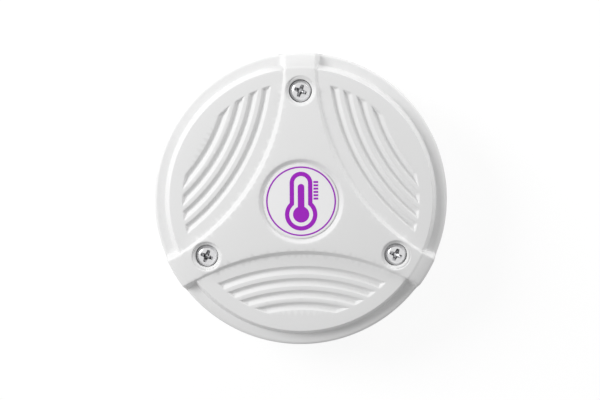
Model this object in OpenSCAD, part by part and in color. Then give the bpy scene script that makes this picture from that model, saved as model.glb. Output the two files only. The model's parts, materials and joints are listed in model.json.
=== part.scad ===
/* [Housing] */
// Free height between the battery cell and the cover's ceiling
head_room = 1.4; // [0.8:0.1:6]
// Distance from the corners of the battery cradle to the board's edge
board_margin = 2; // [1.6:0.1:6]
// Thickness of the cover's skirt
skirt_wall = 2.4; // [1.8:0.1:2.6]
// Thickness of the cover's face
face_wall = 2.4; // [2:0.1:2.6]
// Draft of the cover's skirt, in degrees
skirt_draft = 1; // [0.5:0.25:2]
// Radius of the shallow dome of the hub
dome_r = 440; // [400:20:1200]
// Radius of the flatter dome of the louvre panels
panel_dome_r = 2000; // [1200:100:3000]
// Radius of the rounding at the cover's outer edge
edge_round = 0.9; // [0.4:0.1:1.2]

/* [Relief of the face] */
// Height of the hub above the louvre panels at their crowns
hub_step = 1.5; // [1.1:0.1:1.8]
// Height of the louvre panels above the rim
panel_step = 3; // [2.4:0.1:3.4]
// Width of the rim band between the skirt and the foot of the panels
rim_w = 2.9; // [2.2:0.1:3.4]
// Run of the sloping wall at the panels' outer edge
panel_wall_run = 1.1; // [0.6:0.1:1.8]
// Distance from the centre to the middle of the hub's concave sides
hub_waist_r = 13.1; // [12.8:0.1:14.4]
// Width of the hub's arms where they are narrowest
arm_w = 7; // [6.4:0.1:8.4]
// Run of the hub's side wall for each millimetre of its height
hub_wall_slope = 0.5; // [0.2:0.05:0.7]
// Distance from the cover's edge to the crease where the arms slope down
arm_end_run = 4; // [3:0.1:4.6]
// Drop of the arms between the crease and the cover's edge
arm_end_drop = 1.4; // [1:0.1:2.4]
// Number of grooves in each louvre panel
groove_count = 4; // [2:1:4]
// Distance from one groove to the next
groove_pitch = 3.1; // [2.8:0.1:3.2]
// Distance from the hub's side to the centre of the first groove
groove_start = 4.6; // [3.6:0.1:4.8]
// Width of a groove at its mouth
groove_w = 2; // [1.4:0.1:2.4]
// Width of a groove at its floor
groove_floor_w = 0.6; // [0.3:0.1:1]
// Depth of a groove
groove_depth = 0.8; // [0.5:0.1:1.1]
// Distance from the panels' upper edge to the ends of the grooves
groove_end_margin = 3.5; // [2.6:0.1:4.4]

/* [Label] */
// Diameter of the label
label_d = 18.8; // [16:0.2:19]
// Thickness of the label
label_t = 0.3; // [0.2:0.05:0.4]
// Depth of the recess that holds the label
label_recess_depth = 1; // [0.6:0.1:1.2]
// Radius of the recess's hollow foot and of its rounded lip
label_lip_round = 0.7; // [0.5:0.1:1.1]

/* [Cover screws] */
// Distance from the cover's edge to the axes of the cover screws
screw_inset = 10.1; // [9.8:0.1:10.6]
// Thread diameter of the cover screws
screw_d = 3; // [2.6:0.1:3.2]
// Length of the cover screws under the head
screw_len = 16; // [14:0.5:16.5]
// Diameter of the screw heads
head_d = 5.5; // [5:0.1:5.8]
// Height of the screw heads
head_h = 2.2; // [1.8:0.1:2.4]
// Thread pitch of the cover screws
screw_pitch = 0.5; // [0.4:0.05:0.5]
// Turns of thread that a screw has in its insert
screw_turns = 12; // [9:1:13]
// Thickness of the washers under the screw heads
washer_t = 0.6; // [0.4:0.1:0.8]
// Diameter of the washers
washer_d = 5.8; // [5.8:0.1:6.4]
// Diameter of the counterbores in the hub's arms
counterbore_d = 7.3; // [7:0.1:7.6]
// Depth of the counterbores
counterbore_depth = 3.3; // [3:0.1:3.8]
// Width and depth of the chamfer at the counterbores' mouths
counterbore_chamfer = 0.35; // [0.2:0.05:0.4]
// Diameter of the round pads that carry the counterbores
screw_pad_d = 8.8; // [8.6:0.1:9.4]

/* [Base] */
// Thickness of the base's floor
base_floor = 2.4; // [2.2:0.1:3]
// Height of the base's plinth, which shows under the cover
plinth_h = 3; // [2.8:0.1:4]
// Inset of the plinth from the cover's foot
plinth_inset = 0.6; // [0.3:0.1:1]
// Height of the upstand that centres the cover
upstand_h = 3.5; // [2.5:0.5:5]
// Thickness of the upstand
upstand_wall = 1.6; // [1.2:0.1:1.8]
// Diameter of the wall holes
wall_hole_d = 4.2; // [3.6:0.1:4.4]
// Diameter of the raised pads round the wall holes
wall_pad_d = 7; // [6.6:0.1:7]
// Height of these pads above the floor
wall_pad_h = 1.2; // [0.6:0.1:2]
// Diameter of the hollow in the back face
back_hollow_d = 28; // [22:1:32]
// Depth of the hollow in the back face and of its breathing channel
back_hollow_depth = 0.5; // [0.3:0.1:0.8]
// Width of the breathing channel
channel_w = 3; // [2:0.5:4]

/* [Seal and bosses] */
// Width of the cover seal
seal_w = 1.8; // [1.5:0.1:2]
// Height of the cover seal
seal_h = 1.7; // [1.4:0.1:2]
// Thickness of the ribs that hold the seal
seal_rib_wall = 1; // [0.8:0.1:1.2]
// Height of these ribs
seal_rib_h = 3; // [2.4:0.1:3.6]
// Diameter of the screw bosses in the base and the cover
boss_d = 6.8; // [6.4:0.1:7]
// Diameter of the threaded inserts
insert_d = 4.2; // [4:0.1:4.6]
// Length of the threaded inserts
insert_len = 5; // [4:0.5:5.5]
// Thickness of the stiffening ribs
rib_t = 1.4; // [1:0.1:2]

/* [Circuit board] */
// Thickness of the circuit board
board_t = 1.6; // [1:0.2:1.6]
// Height of the posts under the board
post_h = 1.6; // [1.2:0.1:1.8]
// Diameter of the posts
post_d = 4.4; // [4:0.1:4.6]
// Distance from the board's edge to its screws
board_screw_inset = 2.5; // [2.3:0.1:2.8]
// Thread diameter of the board screws
board_screw_d = 2; // [1.8:0.1:2.2]
// Length of the board screws under the head
board_screw_len = 4; // [3.5:0.5:4.5]

/* [Battery] */
// Diameter of the battery cell
cell_d = 14.5; // [14:0.1:14.6]
// Length of the battery cell
cell_len = 25; // [23:0.5:25.5]
// Distance from the board's centre to the cell's axis
cell_offset = 5.65; // [5.2:0.05:6.2]
// Thickness of the cradle's floor under the cell
cradle_floor = 0.6; // [0.4:0.1:0.8]
// Thickness of the cradle's end walls
cradle_wall = 1.2; // [0.8:0.1:1.4]
// Thickness of the contact strips
contact_t = 0.4; // [0.2:0.05:0.4]

/* [Hidden] */

$fn = 96;
overrun = 1;
round_steps = 4;
dome_steps = 5;
arm_count = 3;
arm_step = 360 / arm_count;
top_arm_angle = 90;
left_arm_angle = 210;
right_arm_angle = 330;
first_panel_angle = 30;
half_panel_angle = 30;

// Clearances
seat_gap = 0.02;
slide_gap = 0.35;
seal_gap = 0.1;
thread_gap = 0.05;
insert_gap = 0.02;
wall_gap = 0.2;
shadow_gap = 0.3;
fit_gap = 0.15;

// Levels from the base's floor up to the face
foot_z = plinth_h + shadow_gap;
board_z = base_floor + post_h;
board_top = board_z + board_t;
cell_r = cell_d / 2;
cell_y = -cell_offset;
cell_z = board_top + cradle_floor + cell_r;
cell_far_r = norm([cell_len / 2, cell_offset]);
panel_crown_z = cell_z + cell_r + head_room + face_wall + panel_drop(cell_far_r);
total_h = panel_crown_z + hub_step;

// Cradle of the cell
cradle_len = cell_len + 2 * (cradle_wall + contact_t + fit_gap);
cradle_w_share = 0.86;
cradle_w = cell_d * cradle_w_share;
cradle_h_share = 0.34;
cradle_h = cell_d * cradle_h_share;
cradle_end_h_share = 0.62;
cradle_end_h = cell_d * cradle_end_h_share;
contact_w_share = 0.4;
contact_w = cell_d * contact_w_share;

// Radii from the board's edge out to the cover's foot
board_r = norm([cradle_len / 2, cell_offset + cradle_w / 2]) + board_margin;
inner_rib_r = board_r + slide_gap + seal_rib_wall;
chamber_inner_r = inner_rib_r + wall_gap;
chamber_outer_r = chamber_inner_r + seal_w;
seal_r = chamber_outer_r - seal_w / 2;
outer_rib_r = chamber_outer_r + wall_gap;
boss_r = boss_d / 2;
screw_circle_r = chamber_outer_r + 3 * wall_gap + boss_r;
foot_r = screw_circle_r + screw_inset;
plinth_r = foot_r - plinth_inset;
upstand_r = skirt_inner_r(foot_z) - slide_gap;

// Steps of the face
panel_top_r = edge_r(panel_crown_z) - rim_w - panel_wall_run;
rim_z = panel_crown_z - panel_drop(panel_top_r) - panel_step;
panel_foot_r = edge_r(rim_z) - rim_w;
crease_r = edge_r(rim_z) - arm_end_run;
arm_end_z = total_h - dome_drop(crease_r) - arm_end_drop;
blank_floor_z = rim_z - overrun;
ceiling_z = rim_z - face_wall;

// Arcs of the hub's sides, which the grooves share
side_arc_r = (hub_waist_r * cos(half_panel_angle) - arm_w / 2) / (1 - cos(half_panel_angle));
side_arc_centre = hub_waist_r + side_arc_r;
side_arc_z = panel_crown_z - panel_drop(hub_waist_r) + hub_step / 2;
groove_end_r = panel_top_r - groove_end_margin;

// Screws and bosses
seat_z = total_h - dome_drop(screw_circle_r) - counterbore_depth;
head_z = seat_z + washer_t + 2 * seat_gap;
screw_tip_z = head_z - screw_len;
thread_depth = screw_pitch * screw_turns;
boss_top_z = screw_tip_z + thread_depth;
boss_end_z = boss_top_z + shadow_gap;
screw_clear_r = screw_d / 2 + wall_gap;
chamber_end_z = base_floor + seal_h + seal_gap;

// Wall holes and vent
wall_hole_circle_r = upstand_r - upstand_wall - wall_pad_d / 2 - fit_gap;
wall_hole_r = wall_hole_d / 2;
vent_hole_r = 1;
vent_place_share = [-0.15, 0.42];
membrane_r = 4;
membrane_t = 0.3;

// Holes and tongue of the circuit board
board_screw_r = board_r - board_screw_inset;
board_screw_angles = [25, 155, 270];
board_hole_r = board_screw_d / 2 + fit_gap;
board_head_d = 3.6;
board_head_h = 1.3;
slot_w = 1;
tongue_w = 4;
tongue_gap = 0.5;
tongue_edge = 1.4;
tongue_x = cradle_len / 2 + tongue_gap;
slot_len = board_r - tongue_edge - tongue_x;

// Parts on the board
north_y = cell_y + cradle_w / 2;
south_y = cell_y - cradle_w / 2;
module_w = 12.4;
module_d = 11;
module_t = 0.8;
module_place_share = [0.28, 0.44];
shield_margin = 1;
shield_h = 1.9;
shield_wall = 0.25;
antenna_len = 8.4;
antenna_w = 2;
antenna_h = 1.2;
antenna_inset = 3.15;
chip_w = 5;
chip_h = 0.9;
chip_place_share = [-0.2, 0.22];
crystal_len = 3.2;
crystal_w = 2.5;
crystal_h = 0.8;
crystal_place_share = [-0.21, 0.49];
capacitor_d = 5;
capacitor_h = 5.4;
capacitor_foot_h = 0.9;
capacitor_edge = 0.6;
capacitor_angle = 132;
capacitor_r = board_r - capacitor_edge - norm([capacitor_d, capacitor_d]) / 2;
reed_d = 2.2;
reed_len = 8;
reed_place_share = [0.36, 0.32];
lead_d = 0.5;
lead_run = 1;
sensor_w = 2.5;
sensor_h = 0.9;
sensor_inset = 2.6;
pad_w = 3.4;
header_pitch = 1.27;
header_rows = 2;
header_columns = 5;
header_h = 2;
header_place_share = [-0.36, 0.34];
pin_w = 0.4;
pin_h = 1.6;
passive_len = 1.6;
passive_w = 0.8;
passive_h = 0.5;
passive_place_shares = [
    [-0.42, 0.14], [-0.54, 0.14], [-0.66, 0.14], [-0.42, 0.24], [-0.54, 0.24],
    [-0.3, 0.69], [-0.165, 0.69], [-0.165, 0.61],
    [0, 0.055], [0.12, 0.055], [0.24, 0.055], [0.36, 0.055], [0.6, 0.055]
];

// Place on the board north of the cradle, from a share of its radius and of that room's depth
function north_place(share) = [share[0] * board_r, north_y + share[1] * (board_r - north_y)];

// Place on the board south of the cradle, from a share of its radius and of that room's depth
function south_place(share) = [share[0] * board_r, south_y - share[1] * (board_r + south_y)];

// Height that the dome loses from the centre to a radius
function dome_drop(r) = r * r / (2 * dome_r);

// Height that the panels' flatter dome loses from the centre to a radius
function panel_drop(r) = r * r / (2 * panel_dome_r);

// Radius of the drafted skirt at a height
function edge_r(z) = foot_r - (z - foot_z) * tan(skirt_draft);

// Radius of the skirt's inner face at a height
function skirt_inner_r(z) = edge_r(z) - skirt_wall;

// Points of an arc from one angle to another
function arc_points(x, y, r, from, to, steps) = [
    for (i = [0:steps])
        let (a = from + (to - from) * i / steps)
            [x + r * cos(a), y + r * sin(a)]
];

// Points of a shallow dome, from a radius inwards to the axis
function dome_points(crown_z, from_r, round_r) = [
    for (i = [0:dome_steps])
        let (r = from_r * (1 - i / dome_steps))
            [r, crown_z - r * r / (2 * round_r)]
];

// Points of an arm's end, from the cover's edge up to the crease
function arm_end_points() = [
    for (i = [0:round_steps])
        let (share = 1 - i / round_steps)
            let (r = crease_r + share * (edge_r(arm_end_z) - edge_round / 2 - crease_r))
                [r, total_h - dome_drop(crease_r) - arm_end_drop * share * (1 + share) / 2]
];

// Places its children at each arm of the hub
module at_arms() {
    for (i = [0:arm_count - 1])
        rotate([0, 0, top_arm_angle + i * arm_step])
            children();
}

// Places its children at each louvre panel, with +X along the panel's middle
module at_panels() {
    for (i = [0:arm_count - 1])
        rotate([0, 0, first_panel_angle + i * arm_step])
            children();
}

// Lower level of the face: the drafted skirt and the rim
module rim_blank() {
    rotate_extrude()
        polygon(concat(
            [[0, foot_z], [foot_r, foot_z]],
            arc_points(edge_r(rim_z) - edge_round, rim_z - edge_round, edge_round, 0, 90, round_steps),
            [[0, rim_z]]
        ));
}

// Middle level of the face: the domed plateau of the louvre panels
module panel_blank() {
    rotate_extrude()
        polygon(concat(
            [[0, blank_floor_z], [panel_foot_r, blank_floor_z], [panel_foot_r, rim_z]],
            dome_points(panel_crown_z, panel_top_r, panel_dome_r)
        ));
}

// Upper level of the face, before its sides are cut
module hub_blank() {
    rotate_extrude()
        polygon(concat(
            [[0, blank_floor_z], [edge_r(blank_floor_z), blank_floor_z]],
            [[edge_r(arm_end_z), arm_end_z - edge_round]],
            arm_end_points(),
            dome_points(total_h, crease_r, dome_r)
        ));
}

// Cone that cuts one concave side of the hub, moved out by a margin
module side_cutter(margin) {
    low_z = blank_floor_z - overrun;
    high_z = total_h + overrun;
    translate([side_arc_centre, 0, low_z])
        cylinder(
            h = high_z - low_z,
            r1 = side_arc_r + margin + (low_z - side_arc_z) * hub_wall_slope,
            r2 = side_arc_r + margin + (high_z - side_arc_z) * hub_wall_slope
        );
}

// Three-armed hub with the round pads that carry the counterbores
module hub() {
    difference() {
        hub_blank();
        at_panels() side_cutter(0);
    }
    intersection() {
        hub_blank();
        at_arms()
            translate([screw_circle_r, 0, blank_floor_z])
                cylinder(
                    h = total_h - blank_floor_z,
                    d1 = screw_pad_d + (total_h - blank_floor_z) * hub_wall_slope,
                    d2 = screw_pad_d - hub_step * hub_wall_slope
                );
    }
}

// Hollow of the cover: the skirt's room, the domed ceiling and a pocket under the hub
module cover_hollow() {
    pocket_r = chamber_inner_r - wall_gap;
    translate([0, 0, foot_z - overrun])
        cylinder(
            h = ceiling_z - foot_z + overrun,
            r1 = skirt_inner_r(foot_z - overrun),
            r2 = skirt_inner_r(ceiling_z)
        );
    rotate_extrude()
        polygon(concat(
            [[0, foot_z], [panel_top_r - face_wall, foot_z]],
            dome_points(panel_crown_z - face_wall, panel_top_r - face_wall, panel_dome_r)
        ));
    difference() {
        rotate_extrude()
            polygon(concat(
                [[0, foot_z], [pocket_r, foot_z]],
                dome_points(total_h - face_wall, pocket_r, dome_r)
            ));
        at_panels() side_cutter(face_wall);
    }
}

// Room below the middle of the face's thickness, where the inner walls take root
module root_room() {
    translate([0, 0, -face_wall / 2]) {
        rim_blank();
        panel_blank();
    }
}

// Walls, bosses and ribs that hang from the cover's ceiling
module cover_inner_walls() {
    rib_end_z = (ceiling_z + boss_end_z) / 2;
    rib_outer_r = skirt_inner_r(rim_z) + skirt_wall / 2;
    intersection() {
        root_room();
        union() {
            difference() {
                translate([0, 0, chamber_end_z])
                    cylinder(h = total_h - chamber_end_z, r = chamber_outer_r);
                translate([0, 0, chamber_end_z - overrun])
                    cylinder(h = total_h, r = chamber_inner_r);
            }
            at_arms()
                translate([screw_circle_r, 0, boss_end_z])
                    cylinder(h = total_h - boss_end_z, r = boss_r);
            at_arms()
                translate([seal_r, -rib_t / 2, rib_end_z])
                    cube([rib_outer_r - seal_r, rib_t, total_h - rib_end_z]);
        }
    }
}

// Grooves of one louvre panel, which follow the hub's side and end on one circle
module panel_grooves() {
    intersection() {
        translate([side_arc_centre, 0, 0])
            for (i = [0:groove_count - 1]) {
                ring_r = side_arc_r - groove_start - i * groove_pitch;
                apex_r = side_arc_centre - ring_r;
                top_z = panel_crown_z - panel_drop(apex_r);
                floor_z = top_z - groove_depth;
                splay = (groove_w - groove_floor_w) / groove_depth / 2;
                high_w = groove_floor_w / 2 + splay * (groove_depth + overrun);
                rotate_extrude()
                    polygon([
                        [ring_r - groove_floor_w / 2, floor_z],
                        [ring_r + groove_floor_w / 2, floor_z],
                        [ring_r + high_w, top_z + overrun],
                        [ring_r - high_w, top_z + overrun]
                    ]);
            }
        translate([0, 0, rim_z])
            cylinder(
                h = total_h - rim_z,
                r1 = groove_end_r - (panel_step + groove_depth) * hub_wall_slope,
                r2 = groove_end_r + hub_step * hub_wall_slope
            );
    }
}

// Recess of the label, whose wall swings from a hollow foot to a rounded lip
module label_recess() {
    floor_r = label_d / 2 + fit_gap;
    floor_z = total_h - label_recess_depth;
    lip_r = floor_r + 2 * label_lip_round;
    lip_z = total_h - dome_drop(lip_r);
    rotate_extrude()
        polygon(concat(
            [[0, floor_z]],
            [
                for (i = [0:2 * round_steps])
                    let (share = i / (2 * round_steps))
                        [
                            floor_r + (lip_r - floor_r) * share,
                            floor_z + (lip_z - floor_z) * (1 - cos(180 * share)) / 2
                        ]
            ],
            [[lip_r, total_h + overrun], [0, total_h + overrun]]
        ));
}

// Counterbore, its chamfer and the clearance hole of one cover screw
module screw_passage() {
    mouth_z = seat_z + counterbore_depth;
    translate([screw_circle_r, 0, 0]) {
        translate([0, 0, boss_top_z])
            cylinder(h = total_h - boss_top_z, r = screw_clear_r);
        translate([0, 0, seat_z])
            cylinder(h = counterbore_depth + overrun, d = counterbore_d);
        translate([0, 0, mouth_z - counterbore_chamfer])
            cylinder(
                h = counterbore_chamfer + overrun,
                d1 = counterbore_d,
                d2 = counterbore_d + 2 * (counterbore_chamfer + overrun)
            );
    }
}

// Front cover: moulded shell with relief, hollow, seal wall, bosses and ribs
module cover() {
    color("white")
        difference() {
            union() {
                difference() {
                    union() {
                        rim_blank();
                        panel_blank();
                        hub();
                    }
                    cover_hollow();
                }
                cover_inner_walls();
            }
            at_panels() panel_grooves();
            label_recess();
            at_arms() screw_passage();
        }
}

// Round front label, bare of print
module front_label() {
    color("whitesmoke")
        translate([0, 0, total_h - label_recess_depth + seat_gap])
            cylinder(h = label_t, d = label_d);
}

// Pan-head screw with a cross recess, its head's underside at the origin
module cover_screw() {
    head_r = head_d / 2;
    head_side_share = 0.45;
    side_h = head_h * head_side_share;
    tip_chamfer = screw_d / 6;
    recess_r_share = 0.56;
    recess_r = head_r * recess_r_share;
    recess_depth_share = 0.7;
    recess_depth = head_h * recess_depth_share;
    blade_w_share = 0.3;
    blade_w = head_r * blade_w_share;
    difference() {
        rotate_extrude()
            polygon(concat(
                [[0, -screw_len], [screw_d / 2 - tip_chamfer, -screw_len]],
                [[screw_d / 2, tip_chamfer - screw_len], [screw_d / 2, 0], [head_r, 0]],
                [
                    for (i = [0:round_steps])
                        let (a = 90 * i / round_steps)
                            [head_r * cos(a), side_h + (head_h - side_h) * sin(a)]
                ]
            ));
        for (turn = [0, 90])
            rotate([0, 0, turn])
                translate([-recess_r, -blade_w / 2, head_h - recess_depth])
                    cube([2 * recess_r, blade_w, head_h]);
        translate([0, 0, head_h - recess_depth])
            cylinder(h = head_h, r1 = blade_w / 2, r2 = recess_r);
    }
}

// One cover screw in its place on an arm
module placed_screw(angle) {
    color("silver")
        rotate([0, 0, angle])
            translate([screw_circle_r, 0, head_z])
                rotate([0, 0, top_arm_angle - angle])
                    cover_screw();
}

// One washer in its place under a screw head
module placed_washer(angle) {
    color("dimgray")
        rotate([0, 0, angle])
            translate([screw_circle_r, 0, seat_z + seat_gap])
                difference() {
                    cylinder(h = washer_t, d = washer_d);
                    translate([0, 0, -overrun])
                        cylinder(h = washer_t + 2 * overrun, d = screw_d + 2 * thread_gap);
                }
}

// Plinth, floor and upstand of the base, as one turned profile
module base_shell() {
    plinth_chamfer = plinth_h / 6;
    upstand_top_z = plinth_h + upstand_h;
    lead_in = upstand_wall / 4;
    rotate_extrude()
        polygon([
            [0, 0],
            [plinth_r - plinth_chamfer, 0],
            [plinth_r, plinth_chamfer],
            [plinth_r, plinth_h],
            [upstand_r, plinth_h],
            [upstand_r, upstand_top_z - lead_in],
            [upstand_r - lead_in, upstand_top_z],
            [upstand_r - upstand_wall, upstand_top_z],
            [upstand_r - upstand_wall, base_floor],
            [0, base_floor]
        ]);
}

// Ring-shaped rib that stands on the base's floor
module floor_ring(inner_r, outer_r) {
    difference() {
        translate([0, 0, base_floor - overrun])
            cylinder(h = seal_rib_h + overrun, r = outer_r);
        translate([0, 0, base_floor])
            cylinder(h = seal_rib_h + overrun, r = inner_r);
    }
}

// Base: back shell with seal groove, bosses, wall holes, board posts and vent
module base() {
    rib_h = seal_rib_h;
    boss_drill_z = screw_tip_z - 2 * screw_pitch;
    rib_inner_r = outer_rib_r + seal_rib_wall / 2;
    rib_outer_r = upstand_r - upstand_wall / 2;
    color("gainsboro")
        difference() {
            union() {
                base_shell();
                floor_ring(inner_rib_r - seal_rib_wall, inner_rib_r);
                floor_ring(outer_rib_r, outer_rib_r + seal_rib_wall);
                at_arms()
                    translate([screw_circle_r, 0, base_floor / 2])
                        cylinder(h = boss_top_z - base_floor / 2, r = boss_r - wall_gap);
                at_arms()
                    translate([rib_inner_r, -rib_t / 2, base_floor / 2])
                        cube([rib_outer_r - rib_inner_r, rib_t, rib_h + base_floor / 2]);
                at_panels()
                    translate([wall_hole_circle_r, 0, base_floor / 2])
                        cylinder(h = base_floor / 2 + wall_pad_h, d = wall_pad_d);
                for (angle = board_screw_angles)
                    rotate([0, 0, angle])
                        translate([board_screw_r, 0, base_floor / 2])
                            cylinder(h = base_floor / 2 + post_h, d = post_d);
            }
            at_arms()
                translate([screw_circle_r, 0, boss_drill_z])
                    cylinder(h = total_h, r = screw_clear_r);
            at_arms()
                translate([screw_circle_r, 0, boss_top_z - insert_len])
                    cylinder(h = total_h, r = insert_d / 2 + insert_gap);
            at_panels()
                translate([wall_hole_circle_r, 0, -overrun])
                    cylinder(h = total_h, r = wall_hole_r);
            for (angle = board_screw_angles)
                rotate([0, 0, angle])
                    translate([board_screw_r, 0, board_top - board_screw_len - 2 * wall_gap])
                        cylinder(h = total_h, d = board_screw_d + 2 * insert_gap);
            translate(concat(north_place(vent_place_share), -overrun))
                cylinder(h = total_h, r = vent_hole_r);
            translate([0, 0, -overrun])
                cylinder(h = overrun + back_hollow_depth, d = back_hollow_d);
            translate([-channel_w / 2, -foot_r, -overrun])
                cube([channel_w, foot_r, overrun + back_hollow_depth]);
        }
}

// Seal ring with rounded flanks, flattened between the base and the cover
module cover_seal() {
    color("darkslategray")
        translate([0, 0, base_floor + seal_h / 2])
            rotate_extrude()
                translate([seal_r, 0])
                    intersection() {
                        square([seal_w, seal_h], center = true);
                        circle(d = seal_w + seal_h / 4);
                    }
}

// Brass inserts with a waist, one in each boss of the base
module threaded_inserts() {
    insert_r = insert_d / 2;
    waist_r = insert_r - 2 * insert_gap - thread_gap;
    bore_r = screw_d / 2 + thread_gap;
    third = insert_len / 3;
    color("goldenrod")
        at_arms()
            translate([screw_circle_r, 0, boss_top_z - insert_len])
                rotate_extrude()
                    polygon([
                        [bore_r, 0], [insert_r, 0], [insert_r, third], [waist_r, third],
                        [waist_r, 2 * third], [insert_r, 2 * third], [insert_r, insert_len],
                        [bore_r, insert_len]
                    ]);
}

// Breathable disc over the vent hole
module vent_membrane() {
    color("ivory")
        translate(concat(north_place(vent_place_share), base_floor))
            cylinder(h = membrane_t, r = membrane_r);
}

// Round circuit board with screw holes and a slotted tongue for the sensor chip
module circuit_board() {
    color("darkgreen")
        difference() {
            translate([0, 0, board_z])
                cylinder(h = board_t, r = board_r);
            for (angle = board_screw_angles)
                rotate([0, 0, angle])
                    translate([board_screw_r, 0, board_z - overrun])
                        cylinder(h = board_t + 2 * overrun, r = board_hole_r);
            for (side = [-1, 1])
                translate([tongue_x, side * (tongue_w + slot_w) / 2 - slot_w / 2, board_z - overrun])
                    cube([slot_len, slot_w, board_t + 2 * overrun]);
        }
}

// Small pan-head screws that hold the board on its posts
module board_screws() {
    head_r = board_head_d / 2;
    color("silver")
        for (angle = board_screw_angles)
            rotate([0, 0, angle])
                translate([board_screw_r, 0, board_top])
                    difference() {
                        rotate_extrude()
                            polygon([
                                [0, -board_screw_len], [board_screw_d / 2, -board_screw_len],
                                [board_screw_d / 2, 0], [head_r, 0],
                                [head_r, board_head_h / 2], [head_r / 2, board_head_h],
                                [0, board_head_h]
                            ]);
                        for (turn = [0, 90])
                            rotate([0, 0, turn])
                                translate([-head_r / 2, -head_r / 8, board_head_h / 2])
                                    cube([head_r, head_r / 4, board_head_h]);
                    }
}

// Half-AA cell with its raised positive cap, lying along X
module battery_cell() {
    edge = cell_d / 16;
    cap_r = cell_d / 6;
    cap_h = contact_t + fit_gap;
    color("seagreen")
        translate([-cell_len / 2, cell_y, cell_z])
            rotate([0, 90, 0])
                rotate_extrude()
                    polygon([
                        [0, 0], [cell_r - edge, 0], [cell_r, edge],
                        [cell_r, cell_len - cap_h - edge], [cell_r - edge, cell_len - cap_h],
                        [cap_r, cell_len - cap_h], [cap_r, cell_len], [0, cell_len]
                    ]);
}

// Cradle that the cell lies in, with end walls for the contacts
module battery_cradle() {
    inner_len = cell_len + 2 * (contact_t + fit_gap);
    color("dimgray")
        translate([0, cell_y, 0])
            difference() {
                union() {
                    translate([-cradle_len / 2, -cradle_w / 2, board_top])
                        cube([cradle_len, cradle_w, cradle_h]);
                    for (side = [-1, 1])
                        translate([
                            side * (cradle_len - cradle_wall) / 2 - cradle_wall / 2,
                            -cradle_w / 2,
                            board_top
                        ])
                            cube([cradle_wall, cradle_w, cradle_end_h]);
                }
                translate([-inner_len / 2, 0, cell_z])
                    rotate([0, 90, 0])
                        cylinder(h = inner_len, r = cell_r + fit_gap);
            }
}

// Bent contact strip between the cell's end and the cradle's wall
module contact_strip(side) {
    plate_x = cell_len / 2 + fit_gap;
    low_z = cell_z - cell_r / 2;
    high_z = board_top + cradle_end_h + contact_t;
    hook_run = cradle_wall + 2 * contact_t;
    color("lightgray")
        translate([0, cell_y, 0])
            mirror([side < 0 ? 1 : 0, 0, 0]) {
                translate([plate_x, -contact_w / 2, low_z])
                    cube([contact_t, contact_w, high_z - low_z]);
                translate([plate_x, -contact_w / 2, high_z - contact_t])
                    cube([hook_run, contact_w, contact_t]);
            }
}

// Small circuit board that carries the radio
module radio_module() {
    color("navy")
        translate(concat(north_place(module_place_share), board_top))
            translate([-module_w / 2, -module_d / 2, 0])
                cube([module_w, module_d, module_t]);
}

// Pressed metal can over the radio, open below
module radio_shield() {
    can_w = module_w - 2 * shield_margin;
    can_d = module_d - 2 * shield_margin;
    color("silver")
        translate(concat(north_place(module_place_share), board_top + module_t))
            translate([-can_w / 2, -can_d / 2, 0])
                difference() {
                    cube([can_w, can_d, shield_h]);
                    translate([shield_wall, shield_wall, -shield_wall])
                        cube([can_w - 2 * shield_wall, can_d - 2 * shield_wall, shield_h]);
                }
}

// Ceramic antenna at the board's edge
module antenna() {
    color("khaki")
        translate([-antenna_len / 2, board_r - antenna_inset - antenna_w / 2, board_top])
            cube([antenna_len, antenna_w, antenna_h]);
}

// Square microcontroller chip
module microcontroller() {
    color("black")
        translate(concat(north_place(chip_place_share), board_top))
            translate([-chip_w / 2, -chip_w / 2, 0])
                cube([chip_w, chip_w, chip_h]);
}

// Crystal in a low metal case
module crystal() {
    color("lightgray")
        translate(concat(north_place(crystal_place_share), board_top))
            translate([-crystal_len / 2, -crystal_w / 2, 0])
                cube([crystal_len, crystal_w, crystal_h]);
}

// Round buffer capacitor on a square foot
module buffer_capacitor() {
    color("lightsteelblue")
        translate([capacitor_r * cos(capacitor_angle), capacitor_r * sin(capacitor_angle), board_top]) {
            translate([-capacitor_d / 2, -capacitor_d / 2, 0])
                cube([capacitor_d, capacitor_d, capacitor_foot_h]);
            cylinder(h = capacitor_h, d = capacitor_d);
        }
}

// Glass reed switch on its two bent leads
module reed_switch() {
    axis_z = board_top + reed_d / 2 + lead_d / 2;
    half_span = reed_len / 2 + lead_run;
    color("palegreen")
        translate(south_place(reed_place_share)) {
            translate([-reed_len / 2, 0, axis_z])
                rotate([0, 90, 0])
                    cylinder(h = reed_len, d = reed_d);
            translate([-half_span, 0, axis_z])
                rotate([0, 90, 0])
                    cylinder(h = 2 * half_span, d = lead_d);
            for (side = [-1, 1])
                translate([side * (half_span - lead_d / 2), 0, board_top])
                    cylinder(h = axis_z - board_top, d = lead_d);
        }
}

// Temperature sensor chip on the board's tongue
module temperature_sensor() {
    color("black")
        translate([board_r - sensor_inset - sensor_w / 2, -sensor_w / 2, board_top])
            cube([sensor_w, sensor_w, sensor_h]);
}

// Soft pad that joins the tongue to the base's floor
module thermal_pad() {
    color("lightpink")
        translate([board_r - sensor_inset - pad_w / 2, -pad_w / 2, base_floor])
            cube([pad_w, pad_w, post_h]);
}

// Pin header for programming, with its two rows of pins
module programming_header() {
    block_w = header_columns * header_pitch;
    block_d = header_rows * header_pitch;
    translate(concat(south_place(header_place_share), board_top)) {
        color("black")
            translate([-block_w / 2, -block_d / 2, 0])
                cube([block_w, block_d, header_h]);
        color("gold")
            for (column = [0:header_columns - 1], row = [0:header_rows - 1])
                translate([
                    (column + 0.5) * header_pitch - (block_w + pin_w) / 2,
                    (row + 0.5) * header_pitch - (block_d + pin_w) / 2,
                    header_h / 2
                ])
                    cube([pin_w, pin_w, header_h / 2 + pin_h]);
    }
}

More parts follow.
